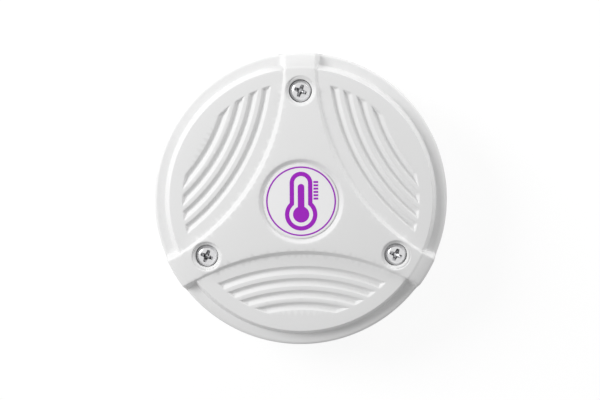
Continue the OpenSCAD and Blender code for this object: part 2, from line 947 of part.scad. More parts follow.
// Small chip resistors and capacitors on the board
module passive_components() {
    color("saddlebrown")
        for (share = passive_place_shares)
            translate(concat(north_place(share), board_top))
                translate([-passive_len / 2, -passive_w / 2, 0])
                    cube([passive_len, passive_w, passive_h]);
}

cover();
front_label();
placed_screw(top_arm_angle);  // cover_screw_top
placed_screw(left_arm_angle);  // cover_screw_left
placed_screw(right_arm_angle);  // cover_screw_right
placed_washer(top_arm_angle);  // screw_washer_top
placed_washer(left_arm_angle);  // screw_washer_left
placed_washer(right_arm_angle);  // screw_washer_right
base();
cover_seal();
threaded_inserts();
vent_membrane();
circuit_board();
board_screws();
battery_cell();
battery_cradle();
contact_strip(1);  // contact_positive
contact_strip(-1);  // contact_negative
radio_module();
radio_shield();
antenna();
microcontroller();
crystal();
buffer_capacitor();
reed_switch();
temperature_sensor();
thermal_pad();
programming_header();
passive_components();
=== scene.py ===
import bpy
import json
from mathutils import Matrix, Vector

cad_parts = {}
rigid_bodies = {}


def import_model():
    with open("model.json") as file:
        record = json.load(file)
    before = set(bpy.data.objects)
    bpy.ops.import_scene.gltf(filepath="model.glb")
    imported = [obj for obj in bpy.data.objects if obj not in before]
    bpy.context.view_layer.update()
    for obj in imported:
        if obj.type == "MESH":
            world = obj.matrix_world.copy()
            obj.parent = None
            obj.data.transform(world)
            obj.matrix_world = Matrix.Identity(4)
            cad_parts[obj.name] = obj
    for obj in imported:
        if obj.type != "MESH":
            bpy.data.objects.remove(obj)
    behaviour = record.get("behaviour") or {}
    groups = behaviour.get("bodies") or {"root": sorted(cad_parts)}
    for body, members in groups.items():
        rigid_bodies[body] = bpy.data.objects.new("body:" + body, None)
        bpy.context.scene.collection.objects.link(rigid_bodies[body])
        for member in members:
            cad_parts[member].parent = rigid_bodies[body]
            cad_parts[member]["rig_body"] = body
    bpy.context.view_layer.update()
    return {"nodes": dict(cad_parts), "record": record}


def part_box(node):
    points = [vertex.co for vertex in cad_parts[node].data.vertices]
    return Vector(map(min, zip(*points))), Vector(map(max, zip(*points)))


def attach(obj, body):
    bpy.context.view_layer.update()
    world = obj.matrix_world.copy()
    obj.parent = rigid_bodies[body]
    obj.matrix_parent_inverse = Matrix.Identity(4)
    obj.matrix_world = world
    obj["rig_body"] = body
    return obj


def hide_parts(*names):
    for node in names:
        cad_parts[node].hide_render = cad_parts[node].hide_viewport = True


bl_info = {
    "name": "Outdoor Temperature Sensor",
    "version": (1, 0, 0),
    "blender": (4, 5, 0),
    "location": "View3D > Sidebar > Sensor",
    "description": "Dresses a round wall sensor piece by piece and lights it on a pale stage",
    "category": "Add Mesh",
}

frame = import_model()

import json
import math
from types import SimpleNamespace

import bmesh
import bpy
import numpy as np
from bpy.props import FloatProperty, FloatVectorProperty, IntProperty, PointerProperty
from bpy.types import Operator, Panel, PropertyGroup
from mathutils import Matrix, Vector
from mathutils.geometry import delaunay_2d_cdt

# One millimetre, in the scene's metres
MM = 0.001
SLOTS = {part["node"]: part["material_slot"] for part in frame["record"]["subparts"]}
# Directions of the hub's arms and of the louvre panels between them, in degrees
ARMS = {"top": 90, "left": 210, "right": 330}
PANEL_ANGLES = (30, 150, 270)
# Angle of one sixth of the face
HALF_SECTOR = math.radians(60)
# Gap under the label and under the washers, in millimetres
SEAT_GAP = 0.02
# Distance from one header pin to the next, in millimetres
HEADER_PITCH = 1.27
# How far a shank reaches up into its head, in millimetres
HIDDEN_END = 0.2


# Sizes and colours that a user would change

def length(name, description, default):
    """A length property, its default given in millimetres."""
    return FloatProperty(
        name=name, description=description, default=default * MM, min=0.0, precision=5, unit="LENGTH"
    )


def colour(name, description, default):
    """A colour property, its default given in linear light."""
    return FloatVectorProperty(
        name=name, description=description, default=default, size=3, min=0.0, max=1.0, subtype="COLOR"
    )


def angular(name, description, degrees):
    """An angle property, its default given in degrees."""
    return FloatProperty(name=name, description=description, default=math.radians(degrees), subtype="ANGLE")


def plain(name, description, default):
    """A number property without a unit of its own."""
    return FloatProperty(name=name, description=description, default=default)


def whole(name, description, default, least):
    """A whole number property."""
    return IntProperty(name=name, description=description, default=default, min=least)


class SensorCoverSizes(PropertyGroup):
    """Sizes of the moulded front cover."""

    skirt_wall: length("Skirt wall", "Thickness of the cover's skirt", 2.4)
    dome_r: length("Dome radius", "Radius of the shallow dome of the hub", 440)
    panel_dome_r: length("Panel dome radius", "Radius of the flatter dome of the louvre panels", 2000)
    edge_round: length("Edge rounding", "Rounding between the face and the skirt", 0.9)
    foot_round: length("Foot rounding", "Rounding at the skirt's lower edge", 0.3)
    hub_step: length("Hub step", "Height of the hub above the louvre panels at their crowns", 1.5)
    panel_step: length("Panel step", "Height of the louvre panels above the rim", 3.0)
    rim_w: length("Rim width", "Width of the rim band round the panels", 2.9)
    panel_wall_run: length("Panel wall run", "Run of the wall at the panels' outer edge", 1.1)
    hub_waist_r: length("Hub waist", "Distance from the centre to the hub's concave sides", 13.1)
    arm_w: length("Arm width", "Width of the hub's arms where they are narrowest", 7.0)
    arm_end_run: length("Arm end run", "Run of the slope at the end of each arm", 4.0)
    arm_end_drop: length("Arm end drop", "Drop of the slope at the end of each arm", 1.4)
    crease_step: length("Crease step", "Small step where the slope of an arm's end begins", 0.12)
    moulded_blend: length("Moulded blend", "Height over which two surfaces of the face blend", 0.6)
    groove_pitch: length("Groove pitch", "Distance from one groove to the next", 3.1)
    groove_start: length("Groove start", "Distance from the hub's side to the first groove", 4.6)
    groove_w: length("Groove width", "Width of a groove at its mouth", 2.0)
    groove_floor_w: length("Groove floor", "Width of a groove at its floor", 0.6)
    groove_depth: length("Groove depth", "Depth of a groove", 0.8)
    groove_end_margin: length("Groove end margin", "Distance from the panel's edge to the grooves", 3.5)
    groove_blend: length("Groove blend", "Height over which a groove's surfaces blend", 0.3)
    counterbore_lip: length("Counterbore lip", "Rounding at the mouth of the screws' counterbores", 0.3)
    counterbore_ledge: length("Counterbore ledge", "Depth below the hub of the slope's foot round each head", 0.92)
    ledge_rise: length("Ledge rise", "Height that the slope round each head climbs on its way out", 0.5)
    ledge_gap: length("Ledge gap", "Gap between the ledge and a screw's head", 0.16)
    screw_pad_d: length("Screw pad", "Diameter of the round pads that carry the counterbores", 8.4)


class SensorLabelSizes(PropertyGroup):
    """Sizes of the front label, its recess and its print."""

    recess_depth: length("Recess depth", "Depth of the recess that holds the label", 1.0)
    recess_run: length("Recess run", "Run of the recess's swung wall", 1.4)
    print_t: length("Print thickness", "Thickness of the raised print", 0.03)
    ring_r: length("Ring radius", "Radius of the printed ring", 8.67)
    ring_w: length("Ring width", "Width of the printed ring", 0.38)
    line_w: length("Line width", "Width of the thermometer's outline", 1.1)
    tube_w: length("Tube width", "Outer width of the thermometer's tube", 5.76)
    tube_top: length("Tube top", "Distance from the centre up to the tube's top", 7.52)
    bulb_d: length("Bulb diameter", "Outer diameter of the thermometer's bulb", 8.23)
    bulb_drop: length("Bulb drop", "Distance from the centre down to the bulb's middle", 3.35)
    column_w: length("Column width", "Width of the filled column", 1.66)
    column_top: length("Column top", "Distance from the centre up to the column's top", 4.42)
    column_bulb_d: length("Column bulb", "Diameter of the filled bulb", 4.13)
    mark_w: length("Mark width", "Length of the scale marks", 1.2)
    mark_t: length("Mark thickness", "Thickness of the scale marks", 0.5)
    mark_pitch: length("Mark pitch", "Distance from one scale mark to the next", 0.84)
    mark_top: length("Mark top", "Distance from the centre up to the first scale mark", 4.88)
    mark_gap: length("Mark gap", "Gap between the tube and the scale marks", 0.28)
    mark_count: whole("Marks", "Number of scale marks", 6, 1)


class SensorScrewSizes(PropertyGroup):
    """Sizes of the cover screws."""

    thread_pitch: length("Thread pitch", "Distance from one turn of the thread to the next", 0.5)
    thread_depth: length("Thread depth", "Depth of the thread", 0.27)
    head_h: length("Head height", "Height of the pan head", 2.2)
    recess_r: length("Recess radius", "Reach of the cross recess's wings", 1.75)
    recess_depth: length("Recess depth", "Depth of the cross recess", 1.45)
    wing_w: length("Wing width", "Width of the recess's wings", 0.74)
    cross_turn: angular("Cross turn", "How far the cross recess is turned", 22)


class SensorInnerSizes(PropertyGroup):
    """Sizes of the small details on the pieces inside."""

    soft_edge: length("Soft edge", "Rounding of the edges of moulded and pressed pieces", 0.12)
    knurl_depth: length("Knurl depth", "Depth of the inserts' knurling", 0.16)
    knurl_teeth: whole("Knurl teeth", "Teeth round each insert", 28, 8)
    post_screw_d: length("Post screw", "Thread diameter of the screws that hold the board", 2.2)
    post_head_h: length("Post screw head", "Height of those screws' heads", 1.3)
    sleeve_t: length("Sleeve thickness", "Thickness of the cell's shrunk sleeve", 0.12)
    sleeve_lip: length("Sleeve lip", "How far the sleeve turns in over the cell's ends", 1.3)
    can_round: length("Can rounding", "Rounding of the pressed metal cans", 0.35)
    pad_w: length("Pad width", "Width of the module's edge pads", 0.7)
    pad_pitch: length("Pad pitch", "Distance from one edge pad to the next", 1.1)
    lead_w: length("Lead width", "Width of the microcontroller's leads", 0.22)
    lead_pitch: length("Lead pitch", "Distance from one lead to the next", 0.5)
    lead_run: length("Lead run", "How far the leads stand out of the resin", 0.5)
    track_w: length("Track width", "Width of the board's tracks", 0.3)
    copper_t: length("Copper thickness", "Thickness of the board's tracks and rings", 0.04)
    cap_run: length("Cap run", "Length of the tinned ends of the small chips", 0.35)
    blade_t: length("Blade thickness", "Thickness of the reed switch's blades", 0.14)


class SensorFinishes(PropertyGroup):
    """Colours of the finishes."""

    cover_white: colour("Cover white", "White of the moulded cover", (0.79, 0.79, 0.79))
    label_white: colour("Label white", "Pale film of the label", (0.88, 0.88, 0.885))
    print_purple: colour("Print purple", "Purple of the label's print", (0.34, 0.001, 0.505))
    screw_metal: colour("Screw metal", "Nickel of the cover screws", (0.86, 0.86, 0.87))
    # Darker metal in the screws' recesses is painted shade there, and its bright patches are painted glints
    recess_painted_shade: colour("Recess metal", "Dulled metal inside the screws' recesses", (0.46, 0.46, 0.47))
    base_white: colour("Base white", "Off-white of the moulded base", (0.70, 0.70, 0.705))
    brass: colour("Brass", "Brass of the inserts", (0.62, 0.41, 0.13))
    steel: colour("Steel", "Zinc plated steel of small screws and cans", (0.56, 0.56, 0.56))
    tin: colour("Tin", "Tinned joints and rings", (0.70, 0.70, 0.69))
    gilt: colour("Gilt", "Gilt pins and edge pads", (0.83, 0.58, 0.20))
    mask_green: colour("Board green", "Solder mask of the circuit board", (0.012, 0.115, 0.05))
    mask_blue: colour("Module blue", "Solder mask of the radio module", (0.012, 0.035, 0.16))
    sleeve_green: colour("Sleeve green", "Shrunk sleeve of the cell", (0.02, 0.20, 0.11))
    black_resin: colour("Black resin", "Resin of the chips and black mouldings", (0.018, 0.018, 0.019))
    ceramic_cream: colour("Cream ceramic", "Ceramic of the antenna", (0.66, 0.58, 0.40))
    ceramic_tan: colour("Tan ceramic", "Ceramic of the small capacitors", (0.33, 0.21, 0.12))
    pad_pink: colour("Pad pink", "Soft silicone of the thermal pad", (0.62, 0.33, 0.33))
    washer_black: colour("Washer black", "Rubber of the washers", (0.03, 0.03, 0.03))
    seal_black: colour("Seal black", "Rubber of the cover's seal", (0.02, 0.022, 0.025))
    film_white: colour("Film white", "Breathable film over the vent", (0.8, 0.8, 0.78))
    nickel: colour("Nickel", "Plating of the cell's spring contacts", (0.62, 0.60, 0.56))
    aluminium: colour("Aluminium", "Can of the buffer capacitor", (0.70, 0.71, 0.72))
    glass_green: colour("Glass green", "Glass of the reed switch", (0.45, 0.75, 0.55))
    band_white: colour("Band white", "Printed band round the cell's sleeve", (0.75, 0.76, 0.74))


class SensorStage(PropertyGroup):
    """Camera and light of the studio stage."""

    camera_distance: length("Camera distance", "Distance from the camera to the rim's plane", 300)
    camera_tilt: angular("Camera tilt", "Lean of the camera towards the top arm", 4.6)
    camera_swing: angular("Camera swing", "Lean of the camera towards the left", 0.4)
    camera_roll: angular("Camera roll", "Turn of the camera about its own axis", -0.35)
    lens: plain("Lens", "Focal length of the camera, in millimetres", 70.05)
    lamp_distance: length("Lamp distance", "Distance of the lamps from the object", 500)
    lamp_size: length("Lamp size", "Diameter of the lamps", 260)
    key_power: plain("Key power", "Power of the key light, in watts", 1.82)
    key_azimuth: angular("Key azimuth", "Direction of the key light round the object", 154)
    key_elevation: angular("Key elevation", "Height of the key light over the object's face", 37)
    side_power: plain("Side power", "Power of the side light, in watts", 1.2)
    side_azimuth: angular("Side azimuth", "Direction of the side light round the object", 46)
    side_elevation: angular("Side elevation", "Height of the side light over the object's face", 10)
    fill_strength: plain("Fill strength", "Strength of the light from all round", 0.41)


# Helpers for meshes

def in_mm(group):
    """The lengths of a property group as plain numbers in millimetres."""
    names = group.bl_rna.properties.keys()
    return SimpleNamespace(**{
        name: getattr(group, name) / MM for name in names if isinstance(getattr(group, name), float)
    })


def node_box(node):
    """Lowest and highest corners of a CAD node, in millimetres."""
    low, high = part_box(node)
    return low / MM, high / MM


def add_object(name, mesh_data):
    """Links a new object with this mesh to the scene."""
    obj = bpy.data.objects.new(name, mesh_data)
    bpy.context.scene.collection.objects.link(obj)
    return obj


def object_from_bmesh(name, bm):
    """Makes an object, in metres, of a bmesh that is in millimetres."""
    bmesh.ops.scale(bm, vec=(MM, MM, MM), verts=bm.verts)
    data = bpy.data.meshes.new(name)
    bm.to_mesh(data)
    bm.free()
    return add_object(name, data)


def copy_of_node(node, name):
    """New object with a joined-up copy of a CAD node's mesh, its flat faces in one piece each."""
    bm = bmesh.new()
    bm.from_mesh(frame["nodes"][node].data)
    bmesh.ops.remove_doubles(bm, verts=bm.verts, dist=1e-3 * MM)
    data = bpy.data.meshes.new(name)
    bm.to_mesh(data)
    bm.free()
    return add_object(name, data)


def finish_piece(obj, material, node, stands_in=True, degrees=35):
    """Shades a piece smooth, gives it its material and puts it on its node's body; it may stand for the node, which is
    then hidden.
    """
    smooth_by_angle(obj, degrees)
    obj.data.materials.clear()
    obj.data.materials.append(material)
    body, slot = frame["nodes"][node]["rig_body"], SLOTS[node]
    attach(obj, body)
    if stands_in:
        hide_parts(node)


def inner_piece(name, parts, material, node, stands_in=True, degrees=35):
    """Piece made of parts, finished for its node."""
    finish_piece(object_from_bmesh(name, gather(parts)), material, node, stands_in, degrees)


def turned(profile, segments=128):
    """Closed solid turned about Z from a closed outline of (radius, height) points.

    A third number in a point is the depth by which every second corner of its ring lies further in.
    """
    bm = bmesh.new()
    rings = []
    for radius, height, *knurl in profile:
        if radius < 1e-6:
            rings.append([bm.verts.new((0, 0, height))])
            continue
        ring = []
        for i in range(segments):
            a = 2 * math.pi * i / segments
            r = radius - (knurl[0] if knurl and i % 2 else 0)
            ring.append(bm.verts.new((r * math.cos(a), r * math.sin(a), height)))
        rings.append(ring)
    for ring, following in zip(rings, rings[1:] + rings[:1]):
        for i in range(segments):
            j = (i + 1) % segments
            corners = [ring[i % len(ring)], ring[j % len(ring)]]
            corners += [following[j % len(following)], following[i % len(following)]]
            distinct = list(dict.fromkeys(corners))
            if len(distinct) > 2:
                bm.faces.new(distinct)
    bmesh.ops.recalc_face_normals(bm, faces=bm.faces)
    return bm


def cylinder_between(name, radius, low_z, high_z, x=0.0, y=0.0):
    """Plain closed cylinder, in millimetres, that serves as a cutting tool."""
    bm = turned([(0, low_z), (radius, low_z), (radius, high_z), (0, high_z)])
    return object_from_bmesh(name, moved(bm, x, y))


def ring_bm(inner_r, outer_r, low_z, high_z, segments=64):
    """Flat ring about the origin's axis."""
    return turned([(inner_r, low_z), (outer_r, low_z), (outer_r, high_z), (inner_r, high_z)], segments)


def block(low, high, edge=0.0, segments=2):
    """Closed block between two corners, its edges softened."""
    bm = bmesh.new()
    bmesh.ops.create_cube(bm, size=1.0)
    low, high = Vector(low), Vector(high)
    for vert in bm.verts:
        vert.co = [a + (b - a) * (c + 0.5) for a, b, c in zip(low, high, vert.co)]
    if edge:
        bmesh.ops.bevel(bm, geom=bm.edges[:], offset=edge, segments=segments, profile=0.5, affect="EDGES")
    return bm


def flat_solid(outline, holes, low_z, high_z):
    """Flat solid between two heights, with an outline and holes given as lists of points."""
    bm = bmesh.new()
    edges = []
    for loop in (outline, *holes):
        verts = [bm.verts.new((x, y, high_z)) for x, y in loop]
        edges += [bm.edges.new((a, b)) for a, b in zip(verts, verts[1:] + verts[:1])]
    bmesh.ops.triangle_fill(bm, use_beauty=True, edges=edges, normal=(0, 0, 1))
    top = bm.faces[:]
    made = bmesh.ops.extrude_face_region(bm, geom=top)["geom"]
    bmesh.ops.translate(bm, vec=(0, 0, low_z - high_z), verts=[g for g in made if isinstance(g, bmesh.types.BMVert)])
    bmesh.ops.recalc_face_normals(bm, faces=bm.faces)
    return bm


def arc_points(cx, cy, radius, start, end, count):
    """Points of an arc, from one angle to another in degrees."""
    return [
        (cx + radius * math.cos(math.radians(a)), cy + radius * math.sin(math.radians(a)))
        for a in np.linspace(start, end, count)
    ]


def rounded_corner(radius, height, rounding, start, steps=5):
    """Points of a quarter round about (radius, height), from the start angle on, anticlockwise."""
    return [
        (radius + rounding * math.cos(a), height + rounding * math.sin(a))
        for a in (math.radians(start + 90 * i / steps) for i in range(steps + 1))
    ]


def bent_strip(path, thickness, low_y, high_y):
    """Flat strip that follows a path of (x, z) points, its thickness on the path's left."""
    left = offset_path(path, thickness)
    outline = [*path, *left[::-1]]
    bm = bmesh.new()
    faces = [[bm.verts.new((x, y, z)) for x, z in outline] for y in (low_y, high_y)]
    count = len(path)
    last = len(outline) - 1
    for i in range(count - 1):
        for side in faces:
            bm.faces.new((side[i], side[i + 1], side[last - i - 1], side[last - i]))
    for i in range(len(outline)):
        j = (i + 1) % len(outline)
        bm.faces.new((faces[0][i], faces[0][j], faces[1][j], faces[1][i]))
    bmesh.ops.recalc_face_normals(bm, faces=bm.faces)
    return bm


def offset_path(path, distance):
    """Points beside a path, at a distance to its left."""
    points = [Vector(p) for p in path]
    beside = []
    for i, point in enumerate(points):
        before = (point - points[i - 1]).normalized() if i else None
        after = (points[i + 1] - point).normalized() if i + 1 < len(points) else before
        before = before or after
        normals = [Vector((-d.y, d.x)) for d in (before, after)]
        middle = (normals[0] + normals[1]).normalized()
        beside.append(tuple(point + middle * distance / middle.dot(normals[0])))
    return beside


def track(path, width, low_z, high_z):
    """Flat track of even width along a path of (x, y) points."""
    outline = offset_path(path, width / 2) + offset_path(path, -width / 2)[::-1]
    return flat_solid(outline, [], low_z, high_z)


def tube_along(path, radius, segments=16):
    """Round wire along a path of (x, z) points in the plane of y = 0, closed at both ends."""
    points = [Vector((x, 0, z)) for x, z in path]
    bm = bmesh.new()
    rings = []
    for i, point in enumerate(points):
        along = (points[min(i + 1, len(points) - 1)] - points[max(i - 1, 0)]).normalized()
        across = along.cross(Vector((0, 1, 0)))
        rings.append([
            bm.verts.new(point + radius * (math.cos(a) * across + math.sin(a) * Vector((0, 1, 0))))
            for a in (2 * math.pi * k / segments for k in range(segments))
        ])
    for ring, following in zip(rings, rings[1:]):
        for k in range(segments):
            j = (k + 1) % segments
            bm.faces.new((ring[k], ring[j], following[j], following[k]))
    bm.faces.new(rings[0])
    bm.faces.new(rings[-1])
    bmesh.ops.recalc_face_normals(bm, faces=bm.faces)
    return bm


def moved(bm, x=0.0, y=0.0, z=0.0, turn=0.0, axis="Z"):
    """Turns a bmesh about an axis and then shifts it."""
    matrix = Matrix.Translation((x, y, z)) @ Matrix.Rotation(turn, 4, axis)
    bmesh.ops.transform(bm, matrix=matrix, verts=bm.verts)
    return bm


def gather(parts):
    """Joins bmeshes into one and frees them."""
    joined = bmesh.new()
    for part in parts:
        data = bpy.data.meshes.new("part")
        part.to_mesh(data)
        part.free()
        joined.from_mesh(data)
        bpy.data.meshes.remove(data)
    return joined


def loose_parts(bm):
    """The corners of each loose part of a mesh."""
    left = set(bm.verts)
    parts = []
    while left:
        front = [left.pop()]
        part = []
        while front:
            vert = front.pop()
            part.append(vert)
            fresh = {e.other_vert(vert) for e in vert.link_edges} & left
            left -= fresh
            front += fresh
        parts.append(part)
    return parts


def islands(node):
    """Lowest and highest corners of each loose solid of a CAD node, in millimetres."""
    bm = bmesh.new()
    bm.from_mesh(frame["nodes"][node].data)
    bmesh.ops.remove_doubles(bm, verts=bm.verts, dist=1e-3 * MM)
    boxes = []
    for part in loose_parts(bm):
        corners = np.array([vert.co / MM for vert in part])
        boxes.append((Vector(corners.min(axis=0)), Vector(corners.max(axis=0))))
    bm.free()
    return sorted(boxes, key=lambda box: (round(box[0].x, 3), round(box[0].y, 3)))


def lowest_part(obj):
    """Keeps the one loose part of the mesh that reaches lowest."""
    bm = bmesh.new()
    bm.from_mesh(obj.data)
    parts = sorted(loose_parts(bm), key=lambda part: min(v.co.z for v in part))
    bmesh.ops.delete(bm, geom=[v for part in parts[1:] for v in part], context="VERTS")
    bm.to_mesh(obj.data)
    bm.free()


def boolean(obj, tools, operation="DIFFERENCE"):
    """Applies a Boolean with each tool object in turn and removes the tools."""
    for tool in tools:
        modifier = obj.modifiers.new("boolean", "BOOLEAN")
        modifier.operation = operation
        modifier.solver = "MANIFOLD"
        modifier.object = tool
        apply_modifiers(obj)
        data = tool.data
        bpy.data.objects.remove(tool)
        bpy.data.meshes.remove(data)
    return obj


def apply_modifiers(obj):
    """Replaces the object's mesh by its evaluated one."""
    depsgraph = bpy.context.evaluated_depsgraph_get()
    depsgraph.update()
    baked = bpy.data.meshes.new_from_object(obj.evaluated_get(depsgraph))
    old = obj.data
    obj.modifiers.clear()
    obj.data = baked
    baked.name = old.name
    bpy.data.meshes.remove(old)


def smooth_by_angle(obj, degrees):
    """Shades the mesh smooth, with sharp edges where faces meet at more than the angle."""
    obj.data.shade_smooth()
    obj.data.set_sharp_from_angle(angle=math.radians(degrees))
    weighted = obj.modifiers.new("weighted_normals", "WEIGHTED_NORMAL")
    weighted.keep_sharp = True


def dress(node, material, edge=0.0):
    """Gives a CAD node that stays its finish, and softens its edges by a rounding in millimetres."""
    obj = frame["nodes"][node]
    for place in obj.material_slots:
        place.material = material
    if edge:
        weld = obj.modifiers.new("weld", "WELD")
        weld.merge_threshold = 1e-3 * MM
        bevel = obj.modifiers.new("soft_edges", "BEVEL")
        bevel.width = edge * MM
        bevel.segments = 2
        bevel.limit_method = "ANGLE"
        bevel.angle_limit = math.radians(40)
        bevel.harden_normals = True


# Materials

def node_material(name):
    """New material, its node tree and its shader."""
    material = bpy.data.materials.new(name)
    material.use_nodes = True
    tree = material.node_tree
    return material, tree, tree.nodes["Principled BSDF"]


def link_noise(tree, per_mm, detail):
    """Noise in the object's own coordinates, its scale given in features per millimetre."""
    place = tree.nodes.new("ShaderNodeTexCoord")
    noise = tree.nodes.new("ShaderNodeTexNoise")
    noise.inputs["Scale"].default_value = per_mm / MM
    noise.inputs["Detail"].default_value = detail
    tree.links.new(place.outputs["Object"], noise.inputs["Vector"])
    return noise


def link_weave(tree, pitch):
    """Height of a plain weave whose threads lie a pitch apart, in millimetres."""
    place = tree.nodes.new("ShaderNodeTexCoord")
    total = tree.nodes.new("ShaderNodeMath")
    total.operation = "ADD"
    for i, direction in enumerate(("X", "Y")):
        wave = tree.nodes.new("ShaderNodeTexWave")
        wave.bands_direction = direction
        wave.inputs["Scale"].default_value = math.pi / (10 * pitch * MM)
        wave.inputs["Distortion"].default_value = 0.6
        tree.links.new(place.outputs["Object"], wave.inputs["Vector"])
        tree.links.new(wave.outputs["Fac"], total.inputs[i])
    return total.outputs["Value"]


def link_bump(tree, shader, height, distance):
    """Bumps the shader's normal by a height, with the distance in millimetres."""
    bump = tree.nodes.new("ShaderNodeBump")
    bump.inputs["Strength"].default_value = 1.0
    bump.inputs["Distance"].default_value = distance * MM
    tree.links.new(height, bump.inputs["Height"])
    tree.links.new(bump.outputs["Normal"], shader.inputs["Normal"])


def link_mottle(tree, shader, factor, tone, spread):
    """Varies the base colour between a darker and a lighter tone by a factor."""
    mix = tree.nodes.new("ShaderNodeMix")
    mix.data_type = "RGBA"
    mix.inputs["A"].default_value = (*(c * (1 - spread) for c in tone), 1)
    mix.inputs["B"].default_value = (*(min(1.0, c * (1 + spread)) for c in tone), 1)
    tree.links.new(factor, mix.inputs["Factor"])
    tree.links.new(mix.outputs["Result"], shader.inputs["Base Color"])


def link_roughness(tree, shader, factor, low, high):
    """Varies the roughness between two values by a factor."""
    span = tree.nodes.new("ShaderNodeMapRange")
    span.inputs["To Min"].default_value = low
    span.inputs["To Max"].default_value = high
    tree.links.new(factor, span.inputs["Value"])
    tree.links.new(span.outputs["Result"], shader.inputs["Roughness"])


def noisy_finish(name, tone, per_mm, detail, spread, roughness, depth, distortion=0.0):
    """Material whose tone, roughness and height all follow one noise.

    The noise has this many features per millimetre, the roughness a lowest and a highest value, and the height a
    depth in millimetres.
    """
    material, tree, shader = node_material(name)
    noise = link_noise(tree, per_mm, detail)
    noise.inputs["Distortion"].default_value = distortion
    link_mottle(tree, shader, noise.outputs["Fac"], tone, spread)
    link_roughness(tree, shader, noise.outputs["Fac"], *roughness)
    link_bump(tree, shader, noise.outputs["Fac"], depth)
    return material, shader


def moulded_plastic(name, tone, roughness=0.5, grain=0.012, grain_per_mm=4.0):
    """Moulded plastic with an eroded grain and faint uneven tone."""
    material, tree, shader = node_material(name)
    grain_noise = link_noise(tree, grain_per_mm, 3.0)
    cloud = link_noise(tree, 0.09, 2.0)
    link_mottle(tree, shader, cloud.outputs["Fac"], tone, 0.012)
    link_roughness(tree, shader, grain_noise.outputs["Fac"], roughness - 0.06, roughness + 0.06)
    link_bump(tree, shader, grain_noise.outputs["Fac"], grain)
    return material


def polished_metal(name, tone, roughness=0.16):
    """Plated metal with fine rubbed marks."""
    material, shader = noisy_finish(name, tone, 2.2, 4.0, 0.03, (roughness - 0.05, roughness + 0.08), 0.006)
    shader.inputs["Metallic"].default_value = 1.0
    return material


def metal_with_painted_shade(name, tone):
    """Metal mottled with patches of painted shade between painted glints."""
    material, tree, shader = node_material(name)
    shader.inputs["Metallic"].default_value = 1.0
    patches = link_noise(tree, 1.3, 2.0)
    sharpened = tree.nodes.new("ShaderNodeMapRange")
    sharpened.inputs["From Min"].default_value = 0.42
    sharpened.inputs["From Max"].default_value = 0.6
    tree.links.new(patches.outputs["Fac"], sharpened.inputs["Value"])
    link_mottle(tree, shader, sharpened.outputs["Result"], tone, 0.9)
    link_roughness(tree, shader, patches.outputs["Fac"], 0.18, 0.42)
    link_bump(tree, shader, patches.outputs["Fac"], 0.03)
    return material


def rubber(name, tone):
    """Matt rubber with a dusty bloom."""
    return noisy_finish(name, tone, 1.1, 5.0, 0.25, (0.6, 0.85), 0.01)[0]


def printed_ink(name, tone):
    """Screen-printed ink with a slightly uneven coat."""
    return noisy_finish(name, tone, 1.6, 3.0, 0.06, (0.35, 0.5), 0.004)[0]


def label_film(name, tone):
    """Satin film with the faint orange-peel of a laminated label."""
    return noisy_finish(name, tone, 0.9, 2.0, 0.008, (0.32, 0.42), 0.004)[0]


def fibre_film(name, tone):
    """Breathable film of fine felted fibres."""
    return noisy_finish(name, tone, 7.0, 6.0, 0.08, (0.75, 0.95), 0.03, 2.5)[0]


def ceramic(name, tone):
    """Fired ceramic with fine speckles."""
    return noisy_finish(name, tone, 5.0, 6.0, 0.14, (0.4, 0.6), 0.008)[0]


def solder_mask(name, tone):
    """Glossy solder mask over a glass weave that shows through faintly."""
    material, tree, shader = node_material(name)
    cloud = link_noise(tree, 0.35, 3.0)
    link_mottle(tree, shader, cloud.outputs["Fac"], tone, 0.16)
    link_roughness(tree, shader, cloud.outputs["Fac"], 0.22, 0.38)
    link_bump(tree, shader, link_weave(tree, 0.5), 0.012)
    shader.inputs["Coat Weight"].default_value = 0.4
    return material


def sleeve_film(name, tone, band_tone, band_x, band_w):
    """Shrunk sleeve of glossy film with a printed pale band round the cell."""
    material, tree, shader = node_material(name)
    ripple = link_noise(tree, 0.4, 3.0)
    link_roughness(tree, shader, ripple.outputs["Fac"], 0.18, 0.32)
    link_bump(tree, shader, ripple.outputs["Fac"], 0.05)
    place = tree.nodes.new("ShaderNodeTexCoord")
    parts = tree.nodes.new("ShaderNodeSeparateXYZ")
    band = tree.nodes.new("ShaderNodeMath")
    band.operation = "COMPARE"
    band.inputs[1].default_value = band_x * MM
    band.inputs[2].default_value = band_w / 2 * MM
    mix = tree.nodes.new("ShaderNodeMix")
    mix.data_type = "RGBA"
    mix.inputs["B"].default_value = (*band_tone, 1)
    link_mottle(tree, shader, ripple.outputs["Fac"], tone, 0.1)
    sleeve = shader.inputs["Base Color"].links[0].from_socket
    tree.links.new(place.outputs["Object"], parts.inputs["Vector"])
    tree.links.new(parts.outputs["X"], band.inputs[0])
    tree.links.new(band.outputs["Value"], mix.inputs["Factor"])
    tree.links.new(sleeve, mix.inputs["A"])
    tree.links.new(mix.outputs["Result"], shader.inputs["Base Color"])
    return material


def tinted_glass(name, tone):
    """Thin tinted glass, faintly wavy from its drawing."""
    material, shader = noisy_finish(name, tone, 0.8, 1.0, 0.05, (0.01, 0.05), 0.01)
    shader.inputs["Transmission Weight"].default_value = 1.0
    shader.inputs["IOR"].default_value = 1.5
    return material


def mix_shaders(tree, factor, first, second, output):
    """Sends a mix of two shaders by a factor to the output node of this name."""
    mix = tree.nodes.new("ShaderNodeMixShader")
    tree.links.new(factor, mix.inputs["Fac"])
    tree.links.new(first, mix.inputs[1])
    tree.links.new(second, mix.inputs[2])
    tree.links.new(mix.outputs["Shader"], tree.nodes[output].inputs["Surface"])


